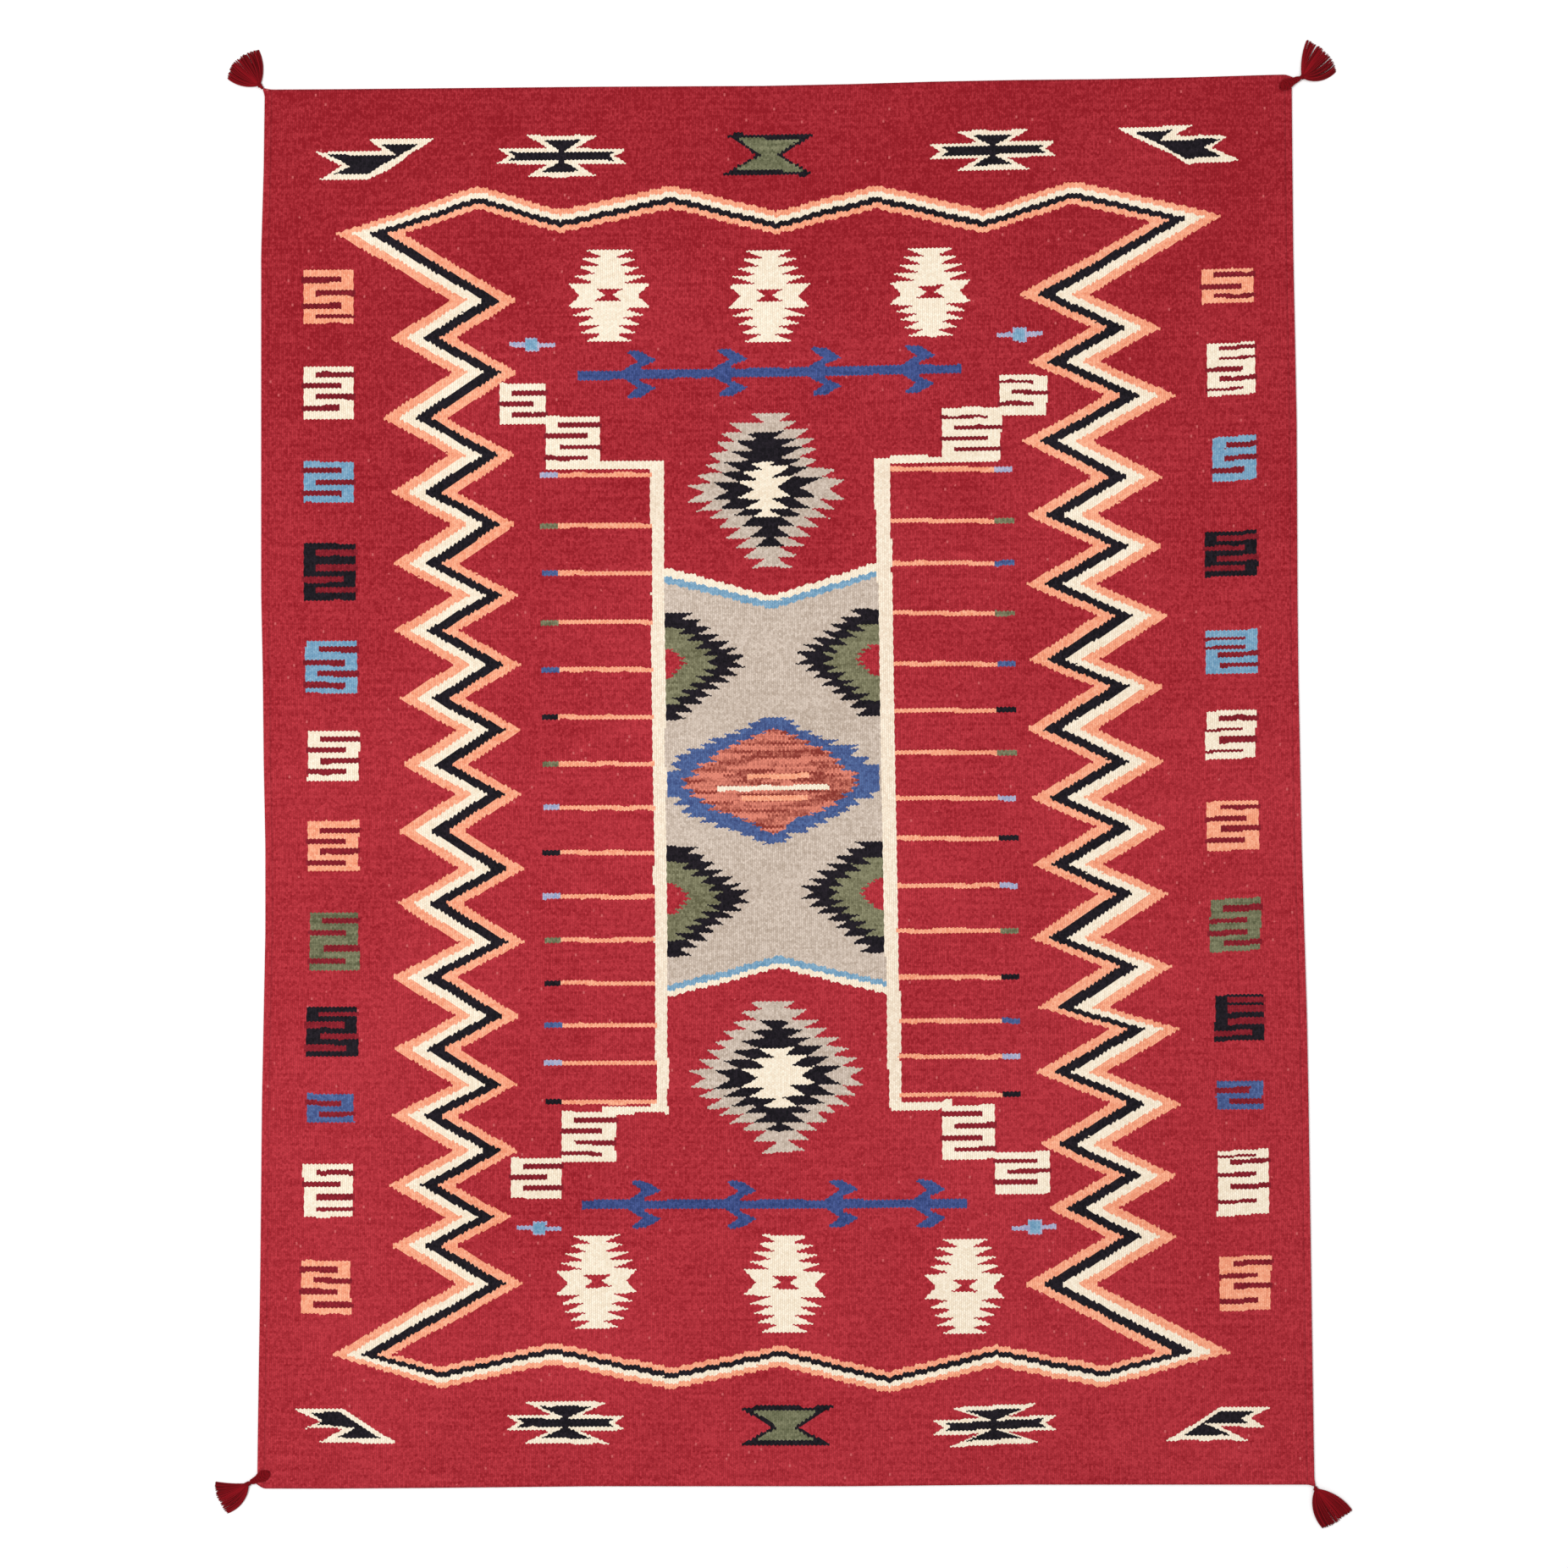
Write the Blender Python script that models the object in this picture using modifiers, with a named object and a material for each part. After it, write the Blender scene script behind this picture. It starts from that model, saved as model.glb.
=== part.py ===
"""Southwest style rug: a flat tapestry-woven wool rug with a yarn tassel at each corner.

Metres, +Z up. The rug lies on z = 0 with its length along Y, and the origin is
under the middle of the whole object. Plan angles run anticlockwise from +X.
"""

import math
import random

import bmesh
import bpy
from mathutils import Vector

MM = 0.001

# Driving dimensions of the cloth
RUG_THICKNESS = 3.0 * MM
EDGE_ROUNDING = 0.8 * MM
EDGE_ROUNDING_STEPS = 2
ROUNDED_FROM_ANGLE = 60.0
CORNER_REACH = 11.0 * MM
CORNER_STEPS = 4
TIP_HALF_WIDTH = 2.4 * MM
PIECE_GAP = 0.3 * MM
WELD_DISTANCE = 0.01 * MM

# How far left and right the selvedges lie, in millimetres, at stations up the rug
SIDE_STATIONS = (
    # up, left edge, right edge
    (887, -750.3, 733.2),
    (765, -754.0, 734.4),
    (643, -754.0, 736.9),
    (521, -754.0, 739.3),
    (276, -754.0, 740.5),
    (154, -751.5, 741.8),
    (32, -750.3, 744.2),
    (-90, -747.9, 746.6),
    (-213, -747.9, 750.3),
    (-335, -750.3, 754.0),
    (-457, -752.8, 756.4),
    (-701, -755.2, 760.1),
    (-946, -758.9, 763.8),
)

# How far up and down the ends lie, in millimetres, at stations across the rug
END_STATIONS = (
    # across, top end, bottom end
    (-643, 1002.2, -1016.4),
    (-521, 1003.3, -1015.5),
    (-398, 1004.5, -1014.3),
    (-276, 1005.7, -1013.0),
    (-32, 1006.9, -1013.0),
    (90, 1009.4, -1013.0),
    (213, 1013.0, -1011.8),
    (335, 1015.5, -1010.6),
    (457, 1016.7, -1010.6),
    (579, 1019.1, -1010.6),
    (701, 1022.8, -1010.6),
)

# Each corner in millimetres: where its edges would meet, and the tip that its tassel has drawn out
CORNERS = {
    # name: corner across, corner up, tip across, tip up
    "top_left": (-748.8, 1001.6, -752.4, 1004.2),
    "top_right": (732.0, 1023.5, 738.1, 1017.4),
    "bottom_right": (765.0, -1010.6, 766.9, -1014.0),
    "bottom_left": (-759.7, -1016.3, -765.0, -1006.3),
}

# Driving dimensions of the tassels
STRAND_WIDTH = 1.9 * MM
STRAND_HEIGHT = 1.9 * MM
STRAND_TIP_SCALE = 0.8
STRAND_ROOT = 17.0 * MM
STRAND_ROOT_LIFT = 0.45 * MM
STRAND_LEVEL_FROM = 29.0 * MM
LAYER_RISE = STRAND_HEIGHT + PIECE_GAP
SETTLE_START = 0.72
SETTLE_END = 0.95
STRAND_STEPS = 5
TRIM_SHORTER = 4.0 * MM
TRIM_LONGER = 0.6 * MM
HEAD_OVERHANG = 1.07
HEAD_SIDE_STEPS = 12
HEAD_SQUARENESS = 3.0
HEAD_RIM_SHARE = 0.35
RANDOM_SEED = 7

# Each tassel's fan: where its strands meet, the way it points, and how wide and long it spreads.
# The left side is the one at the larger plan angle. A bow is how much further out a side swings
# near the neck than at its tip.
TASSELS = {
    "top_left": {
        "neck": (-757.0, 1008.8),
        "points": 130.5,
        "half_spread": 38.0,
        "bow": {"left": 28.0, "right": 24.0},
        "length": {"left": 47.4, "middle": 50.0, "right": 51.6},
        "lower_strands": 15,
        "knot": None,
    },
    "top_right": {
        "neck": (747.9, 1020.4),
        "points": 46.0,
        "half_spread": 35.6,
        "bow": {"left": 15.0, "right": 42.0},
        "length": {"left": 54.6, "middle": 50.0, "right": 50.0},
        "lower_strands": 14,
        "knot": (723.6, 1009.0),
    },
    "bottom_right": {
        "neck": (767.4, -1017.6),
        "points": -55.0,
        "half_spread": 24.0,
        "bow": {"left": 25.0, "right": 34.0},
        "length": {"left": 61.4, "middle": 57.0, "right": 57.6},
        "lower_strands": 11,
        "knot": None,
    },
    "bottom_left": {
        "neck": (-773.5, -1010.0),
        "points": 205.3,
        "half_spread": 28.5,
        "bow": {"left": 38.0, "right": -8.0},
        "length": {"left": 52.6, "middle": 49.0, "right": 48.0},
        "lower_strands": 11,
        "knot": (-750.5, -997.6),
    },
}

# The skirt, where the strands are still one mass: reach from the neck and height, in millimetres
SKIRT_STATIONS = (
    # reach, height
    (4.0, 5.6),
    (9.0, 6.0),
    (15.0, 5.5),
    (21.0, 5.0),
    (25.0, 4.6),
)

# The neck where it only meets the corner's tip: share of the way to the fan, half width, height
NECK_STATIONS = (
    # share, half width, height
    (0.0, 2.5, 3.4),
    (0.5, 2.9, 4.4),
)

# The neck that runs from a knot lying on the cloth: share of the way, half width, base, height
KNOT_STATIONS = (
    # share, half width, base, height
    (-0.34, 2.2, 3.3, 1.6),
    (-0.22, 6.0, 3.3, 3.0),
    (0.0, 8.4, 3.3, 4.0),
    (0.22, 7.4, 3.3, 4.2),
    (0.45, 5.0, 3.3, 4.0),
    (0.74, 4.0, 3.3, 3.4),
    (0.80, 3.8, 1.2, 5.0),
)

# The materials: linear colour and roughness
CLOTH_RED = (0.402, 0.017, 0.034, 1.0)
CLOTH_ROUGHNESS = 0.92
TASSEL_RED = (0.195, 0.006, 0.012, 1.0)
TASSEL_ROUGHNESS = 0.85

COLLECTION_NAME = "southwest_style_rug"
STRAND_COLLECTION_NAME = "strands_to_fuse"


def clear_objects():
    for item in list(bpy.data.objects):
        bpy.data.objects.remove(item, do_unlink=True)


def new_collection(name):
    collection = bpy.data.collections.new(name)
    bpy.context.scene.collection.children.link(collection)
    return collection


def principled(name, colour, roughness):
    material = bpy.data.materials.new(name)
    material.use_nodes = True
    shader = material.node_tree.nodes["Principled BSDF"]
    shader.inputs["Base Color"].default_value = colour
    shader.inputs["Roughness"].default_value = roughness
    shader.inputs["Metallic"].default_value = 0.0
    material.diffuse_color = colour
    return material


def plan(point):
    """A pair in millimetres as a vector in metres."""
    return Vector((point[0] * MM, point[1] * MM))


def bent_between(start, corner, end, steps):
    """Points on the quadratic curve that leaves start and reaches end, drawn towards corner."""
    points = []
    for step in range(1, steps + 1):
        t = step / steps
        points.append(start * (1 - t) ** 2 + corner * 2 * t * (1 - t) + end * t**2)
    return points


def drawn_corner(name, arriving_from, leaving_to):
    """The outline round one corner, whose tip the tassel has drawn out of the square."""
    corner = plan(CORNERS[name][:2])
    tip = plan(CORNERS[name][2:])
    outward = (tip - corner).normalized()
    across = Vector((-outward.y, outward.x)) * TIP_HALF_WIDTH
    arriving = corner + (arriving_from - corner).normalized() * CORNER_REACH
    leaving = corner + (leaving_to - corner).normalized() * CORNER_REACH
    if across.dot(arriving - corner) < 0:
        across = -across
    first = bent_between(arriving, corner, tip + across, CORNER_STEPS)
    second = bent_between(leaving, corner, tip - across, CORNER_STEPS)
    return [arriving] + first + second[::-1] + [leaving]


def rug_outline():
    """The rug's edge, anticlockwise from its bottom left corner."""
    bottom = [plan((across, down)) for across, _, down in END_STATIONS]
    top = [plan((across, up)) for across, up, _ in END_STATIONS][::-1]
    right = [plan((edge, up)) for up, _, edge in SIDE_STATIONS][::-1]
    left = [plan((edge, up)) for up, edge, _ in SIDE_STATIONS]
    sides = (
        ("bottom_left", left[-1], bottom),
        ("bottom_right", bottom[-1], right),
        ("top_right", right[-1], top),
        ("top_left", top[-1], left),
    )
    outline = []
    for name, arriving_from, following in sides:
        outline += drawn_corner(name, arriving_from, following[0])
        outline += following
    return outline


def build_rug(collection, material):
    """The cloth: the outline filled and given its thickness, with its rims rounded."""
    curve = bpy.data.curves.new("rug", "CURVE")
    curve.dimensions = "2D"
    curve.fill_mode = "BOTH"
    curve.extrude = RUG_THICKNESS / 2
    outline = rug_outline()
    spline = curve.splines.new("POLY")
    spline.points.add(len(outline) - 1)
    for point, place in zip(spline.points, outline):
        point.co = (place.x, place.y, 0.0, 1.0)
    spline.use_cyclic_u = True
    curve.materials.append(material)
    rug = bpy.data.objects.new("rug", curve)
    rug.location.z = RUG_THICKNESS / 2
    collection.objects.link(rug)
    weld = rug.modifiers.new("weld", "WELD")
    weld.merge_threshold = WELD_DISTANCE
    bevel = rug.modifiers.new("rounded_rim", "BEVEL")
    bevel.width = EDGE_ROUNDING
    bevel.segments = EDGE_ROUNDING_STEPS
    bevel.limit_method = "ANGLE"
    bevel.angle_limit = math.radians(ROUNDED_FROM_ANGLE)
    return rug


def on_side(table, side):
    """A value for a strand on this side of the fan, from -1 (right) to 1 (left)."""
    outer = table["left"] if side > 0 else table["right"]
    middle = table.get("middle", outer)
    return middle + (outer - middle) * side * side


def fan_angle(fan, side, share):
    """The plan angle of a strand at this share of its length."""
    bow = on_side(fan["bow"], side)
    return math.radians(fan["points"] + side * (fan["half_spread"] + bow * (1 - share)))


def fan_point(fan, side, reach):
    """Where the strand on this side lies at this distance from the neck."""
    share = reach / (on_side(fan["length"], side) * MM)
    angle = fan_angle(fan, side, share)
    return plan(fan["neck"]) + Vector((math.cos(angle), math.sin(angle))) * reach


def smooth_step(value):
    value = min(max(value, 0.0), 1.0)
    return value * value * (3 - 2 * value)


def strand_points(fan, side, upper, trimmed):
    """The middle line of one strand, from inside the skirt to its tip, resting level."""
    length = on_side(fan["length"], side) * MM + trimmed
    points = []
    for step in range(STRAND_STEPS + 1):
        t = step / STRAND_STEPS
        reach = STRAND_ROOT + (length - STRAND_ROOT) * t
        place = fan_point(fan, side, reach)
        still_lifted = 1 - smooth_step((reach - STRAND_ROOT) / (STRAND_LEVEL_FROM - STRAND_ROOT))
        lift = STRAND_ROOT_LIFT * still_lifted
        if upper:
            share = reach / length
            settled = smooth_step((share - SETTLE_START) / (SETTLE_END - SETTLE_START))
            lift += LAYER_RISE * (1 - settled)
        points.append((place.x, place.y, STRAND_HEIGHT / 2 + lift))
    return points


def strand_profile(collection):
    """The square section that every strand is swept with."""
    curve = bpy.data.curves.new("strand_profile", "CURVE")
    curve.dimensions = "2D"
    half = STRAND_WIDTH / 2
    tall = STRAND_HEIGHT / 2
    section = ((-half, -tall), (half, -tall), (half, tall), (-half, tall))
    spline = curve.splines.new("POLY")
    spline.points.add(len(section) - 1)
    for point, (x, y) in zip(spline.points, section):
        point.co = (x, y, 0.0, 1.0)
    spline.use_cyclic_u = True
    profile = bpy.data.objects.new("strand_profile", curve)
    collection.objects.link(profile)
    return profile


def strand_curve(name, points, profile):
    """One strand as a curve that sweeps the profile along its points."""
    curve = bpy.data.curves.new(name, "CURVE")
    curve.dimensions = "3D"
    curve.twist_mode = "Z_UP"
    curve.bevel_mode = "OBJECT"
    curve.bevel_object = profile
    curve.use_fill_caps = True
    spline = curve.splines.new("POLY")
    spline.points.add(len(points) - 1)
    last = len(points) - 1
    for number, (point, place) in enumerate(zip(spline.points, points)):
        point.co = (*place, 1.0)
        point.radius = 1.0 if number < last else STRAND_TIP_SCALE
    return curve


def across_of(direction):
    """The unit vector that points left of this direction."""
    return Vector((-direction.y, direction.x)).normalized()


def neck_sections(name, fan):
    """The head's sections short of the skirt: middle, half width as a vector, base and height."""
    neck = plan(fan["neck"])
    if fan["knot"] is None:
        corner = plan(CORNERS[name][:2])
        tip = plan(CORNERS[name][2:])
        outward = (tip - corner).normalized()
        start = tip + outward * PIECE_GAP
        turned = outward
        stations = [(share, half, 0.0, high) for share, half, high in NECK_STATIONS]
    else:
        start = plan(fan["knot"])
        turned = (neck - start).normalized()
        stations = KNOT_STATIONS
    rows = []
    for share, half_width, base, height in stations:
        facing = turned.lerp((neck - start).normalized(), max(share, 0.0))
        across = across_of(facing) * half_width * MM
        rows.append((start.lerp(neck, share), across, base * MM, height * MM))
    return rows


def head_sections(name, fan):
    """The head's cross-sections from the cloth to the skirt's end: each a row of places along its
    width, its base and its height."""
    sections = []
    for middle, across, base, height in neck_sections(name, fan):
        row = [middle + across * side for side in section_sides()]
        sections.append((row, base, height))
    for reach, height in SKIRT_STATIONS:
        row = [fan_point(fan, side * HEAD_OVERHANG, reach * MM) for side in section_sides()]
        sections.append((row, 0.0, height * MM))
    return sections


def section_sides():
    """Places across a section, from the right side (-1) to the left (1), closer at both sides."""
    shares = [2 * step / HEAD_SIDE_STEPS - 1 for step in range(HEAD_SIDE_STEPS + 1)]
    return [math.sin(math.pi / 2 * share) for share in shares]


def crown(side):
    """How high a section is there, as a share of its height."""
    round_share = (1 - abs(side) ** HEAD_SQUARENESS) ** (1 / HEAD_SQUARENESS)
    return HEAD_RIM_SHARE + (1 - HEAD_RIM_SHARE) * round_share


def build_head(name, sections, collection, material):
    """The knot or neck and the skirt, lofted through their sections as one closed body."""
    verts = []
    rings = []
    for places, base, height in sections:
        first = len(verts)
        for side, place in zip(section_sides(), places):
            verts.append((place.x, place.y, base + height * crown(side)))
        for place in reversed(places):
            verts.append((place.x, place.y, base))
        rings.append(range(first, len(verts)))
    count = len(rings[0])
    faces = [tuple(reversed(rings[0])), tuple(rings[-1])]
    for here, there in zip(rings, rings[1:]):
        for number in range(count):
            after = (number + 1) % count
            faces.append((here[number], here[after], there[after], there[number]))
    mesh = bpy.data.meshes.new(name)
    mesh.from_pydata(verts, [], faces)
    mesh.materials.append(material)
    head = bpy.data.objects.new(name, mesh)
    collection.objects.link(head)
    return head


def welded_strand(curve, collection):
    """The swept curve as a closed mesh in an object of its own, ready to be fused."""
    swept = bpy.data.objects.new(curve.name, curve)
    collection.objects.link(swept)
    graph = bpy.context.evaluated_depsgraph_get()
    mesh = bpy.data.meshes.new_from_object(swept.evaluated_get(graph))
    work = bmesh.new()
    work.from_mesh(mesh)
    bmesh.ops.remove_doubles(work, verts=work.verts, dist=WELD_DISTANCE)
    bmesh.ops.recalc_face_normals(work, faces=work.faces)
    work.to_mesh(mesh)
    work.free()
    strand = bpy.data.objects.new(curve.name, mesh)
    strand.matrix_world = swept.matrix_world
    bpy.data.objects.remove(swept, do_unlink=True)
    strand.hide_render = True
    strand.display_type = "WIRE"
    collection.objects.link(strand)


def build_tassel(corner, collection, material, profile):
    """One tassel: its head with every strand's root fused into it."""
    fan = TASSELS[corner]
    tassel = build_head("tassel_" + corner, head_sections(corner, fan), collection, material)
    strands = new_collection(STRAND_COLLECTION_NAME + "_" + corner)
    draw = random.Random(RANDOM_SEED)
    lower = fan["lower_strands"]
    for number in range(2 * lower - 1):
        side = number / (lower - 1) - 1
        upper = number % 2 == 1
        trimmed = draw.uniform(-TRIM_SHORTER, TRIM_LONGER) * (1 - abs(side))
        points = strand_points(fan, side, upper, trimmed)
        curve = strand_curve(f"strand_{corner}_{number}", points, profile)
        welded_strand(curve, strands)
    union = tassel.modifiers.new("fuse_strands", "BOOLEAN")
    union.operation = "UNION"
    union.operand_type = "COLLECTION"
    union.collection = strands
    union.solver = "EXACT"
    union.use_self = True


def build():
    clear_objects()
    collection = new_collection(COLLECTION_NAME)
    helpers = new_collection(STRAND_COLLECTION_NAME)
    wool = principled("woven_wool", CLOTH_RED, CLOTH_ROUGHNESS)
    yarn = principled("tassel_yarn", TASSEL_RED, TASSEL_ROUGHNESS)
    build_rug(collection, wool)
    profile = strand_profile(helpers)
    for corner in TASSELS:
        build_tassel(corner, collection, yarn, profile)
    bpy.data.objects.remove(profile, do_unlink=True)


build()
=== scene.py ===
"""Southwest style rug, the looks: every yarn of the woven design as its own faces, the weave's
relief, the selvedges and the four corner tassels, laid flat and seen from straight above.

Metres, +Z up. The woven design is charted: tables give each figure's place and sizes,
read off the photograph in its pixels, and loops weave them pick by pick.
"""

import math
import random

import bpy
import numpy as np
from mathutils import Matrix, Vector
from mathutils.geometry import delaunay_2d_cdt


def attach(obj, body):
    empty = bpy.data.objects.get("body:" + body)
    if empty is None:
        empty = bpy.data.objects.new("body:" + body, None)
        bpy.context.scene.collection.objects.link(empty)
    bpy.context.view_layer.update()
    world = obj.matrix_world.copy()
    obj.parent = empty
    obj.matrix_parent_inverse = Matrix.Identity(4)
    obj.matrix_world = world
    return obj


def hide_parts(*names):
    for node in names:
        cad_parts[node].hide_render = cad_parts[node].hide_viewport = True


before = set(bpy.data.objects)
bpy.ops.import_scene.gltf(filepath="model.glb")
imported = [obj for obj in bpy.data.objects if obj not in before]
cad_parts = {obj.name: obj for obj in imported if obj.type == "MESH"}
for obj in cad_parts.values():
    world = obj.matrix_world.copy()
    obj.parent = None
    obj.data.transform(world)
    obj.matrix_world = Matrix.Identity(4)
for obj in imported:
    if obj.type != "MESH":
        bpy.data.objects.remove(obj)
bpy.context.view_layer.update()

MM = 0.001

# The photograph: its size, its middle and what one of its pixels spans on the rug
PHOTO_PIXELS = 1852
PHOTO_MIDDLE = PHOTO_PIXELS / 2
PIXEL = 1.222 * MM

# Driving dimensions of the cloth
CUT_WIDTH = 1.50
CUT_LENGTH = 2.03
CLOTH_TOP = 3.0 * MM
WARPS = 517
PICKS = 1040
CORNER_REACH = 11.0 * MM

# The rounded rim from the top face down: how far inside the outline, and height
RIM_RINGS = (
    # inset, height
    (0.80 * MM, 3.00 * MM),
    (0.23 * MM, 2.77 * MM),
    (0.00 * MM, 2.20 * MM),
    (0.00 * MM, 0.80 * MM),
    (0.23 * MM, 0.23 * MM),
    (0.80 * MM, 0.00 * MM),
)
RIM_STATION_EVERY = 7
RIM_FINE_CELLS = 6

# The selvedge: warps from the edge, and how high the face stands there
SELVEDGE_PROFILE = (
    # warps in, height
    (0.0, 3.00 * MM),
    (0.8, 3.30 * MM),
    (2.0, 3.25 * MM),
    (2.9, 2.55 * MM),
    (4.0, 2.95 * MM),
    (6.0, 3.00 * MM),
)

# How far left and right the selvedges lie, in millimetres, at stations up the rug
SIDE_STATIONS = (
    # up, left edge, right edge
    (887, -750.3, 733.2),
    (765, -754.0, 734.4),
    (643, -754.0, 736.9),
    (521, -754.0, 739.3),
    (276, -754.0, 740.5),
    (154, -751.5, 741.8),
    (32, -750.3, 744.2),
    (-90, -747.9, 746.6),
    (-213, -747.9, 750.3),
    (-335, -750.3, 754.0),
    (-457, -752.8, 756.4),
    (-701, -755.2, 760.1),
    (-946, -758.9, 763.8),
)

# How far up and down the ends lie, in millimetres, at stations across the rug
END_STATIONS = (
    # across, top end, bottom end
    (-643, 1002.2, -1016.4),
    (-521, 1003.3, -1015.5),
    (-398, 1004.5, -1014.3),
    (-276, 1005.7, -1013.0),
    (-32, 1006.9, -1013.0),
    (90, 1009.4, -1013.0),
    (213, 1013.0, -1011.8),
    (335, 1015.5, -1010.6),
    (457, 1016.7, -1010.6),
    (579, 1019.1, -1010.6),
    (701, 1022.8, -1010.6),
)

# Each corner in millimetres: where its edges would meet, and the tip that its tassel has drawn out
CORNERS = {
    # name: corner across, corner up, tip across, tip up
    "top_left": (-748.8, 1001.6, -752.4, 1004.2),
    "top_right": (732.0, 1023.5, 738.1, 1017.4),
    "bottom_right": (765.0, -1010.6, 766.9, -1014.0),
    "bottom_left": (-759.7, -1016.3, -765.0, -1006.3),
}


# The studio light is a little stronger than 1, so the yarns' own colours are that much darker
LIGHT_LEVEL = 1.12


def srgb(red, green, blue):
    """The yarn colour that looks like this, 0 to 255, in the studio light, as linear values."""
    linear = []
    for value in (red / 255, green / 255, blue / 255):
        value = value / 12.92 if value <= 0.04045 else ((value + 0.055) / 1.055) ** 2.4
        linear.append(value / LIGHT_LEVEL)
    return (*linear, 1.0)


# The yarns: darker and lighter shade, and how much neighbouring picks differ
YARNS = {
    # name: (darker shade, lighter shade, streak share)
    "red": (srgb(140, 18, 30), srgb(186, 54, 64), 0.35),
    # The key slots' red, darkened as painted shade between the bars
    "painted_shade_red": (srgb(104, 14, 26), srgb(146, 34, 46), 0.3),
    "cream": (srgb(230, 212, 186), srgb(250, 238, 218), 0.2),
    "ivory": (srgb(224, 204, 180), srgb(250, 236, 216), 0.2),
    "black": (srgb(8, 6, 12), srgb(36, 30, 38), 0.2),
    "orange": (srgb(228, 136, 102), srgb(252, 182, 148), 0.3),
    "light_blue": (srgb(94, 140, 172), srgb(140, 176, 200), 0.3),
    "pale_blue": (srgb(128, 146, 184), srgb(190, 180, 200), 0.3),
    "blue": (srgb(52, 66, 114), srgb(86, 110, 160), 0.35),
    "deep_blue": (srgb(38, 54, 104), srgb(72, 90, 148), 0.3),
    "olive": (srgb(90, 88, 62), srgb(138, 136, 106), 0.4),
    "sage": (srgb(84, 86, 60), srgb(130, 130, 100), 0.5),
    "taupe": (srgb(172, 154, 138), srgb(216, 200, 186), 0.3),
    "rust": (srgb(132, 50, 42), srgb(220, 130, 110), 0.5),
}
YARN_NAMES = list(YARNS)

# The border's outer edge, corner by corner in photograph pixels, and how far in it reaches there
BORDER_TOP = ((565, 220), (662, 248), (793, 219), (917, 249), (1036, 219), (1161, 248), (1267, 214))
BORDER_BOTTOM = (
    (1303, 1638), (1177, 1614), (1050, 1645), (921, 1614), (793, 1641), (655, 1611), (520, 1639),
)
BORDER_RIGHT_IN = (
    (1286, 348), (1298, 427), (1290, 521), (1295, 608), (1295, 690), (1298, 779), (1295, 861),
    (1300, 943), (1303, 1021), (1300, 1108), (1309, 1190), (1306, 1266), (1311, 1352), (1321, 1427),
    (1293, 1517),
)
BORDER_RIGHT_OUT = (
    (1372, 387), (1389, 467), (1374, 563), (1375, 645), (1380, 727), (1375, 811), (1375, 899),
    (1378, 977), (1380, 1055), (1385, 1141), (1394, 1215), (1396, 1303), (1390, 1388), (1390, 1460),
)
BORDER_LEFT_IN = (
    (533, 355), (534, 440), (531, 537), (533, 619), (536, 703), (538, 785), (539, 862), (538, 938),
    (543, 1026), (542, 1113), (538, 1200), (535, 1281), (535, 1359), (527, 1438), (540, 1516),
)
BORDER_LEFT_OUT = (
    (461, 399), (451, 494), (462, 582), (464, 666), (465, 745), (472, 825), (475, 903), (470, 982),
    (469, 1067), (462, 1154), (465, 1239), (462, 1318), (459, 1400), (462, 1471),
)
BORDER_CORNERS = {
    # name: (outer tip, reach in)
    "top_left": ((396, 276), (80, 0)),
    "top_right": ((1444, 254), (-83, 8)),
    "bottom_right": ((1455, 1597), (-88, 0)),
    "bottom_left": ((391, 1600), (72, 0)),
}
BORDER_REACH = {"top": (0, 27), "bottom": (0, -25), "left": (77, 0), "right": (-83, 0)}
BORDER_BANDS = (
    # share of the reach where the band begins, yarn
    (0.0, "orange"),
    (0.25, "cream"),
    (0.49, "black"),
    (0.75, "orange"),
    (1.0, "red"),
)

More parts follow.
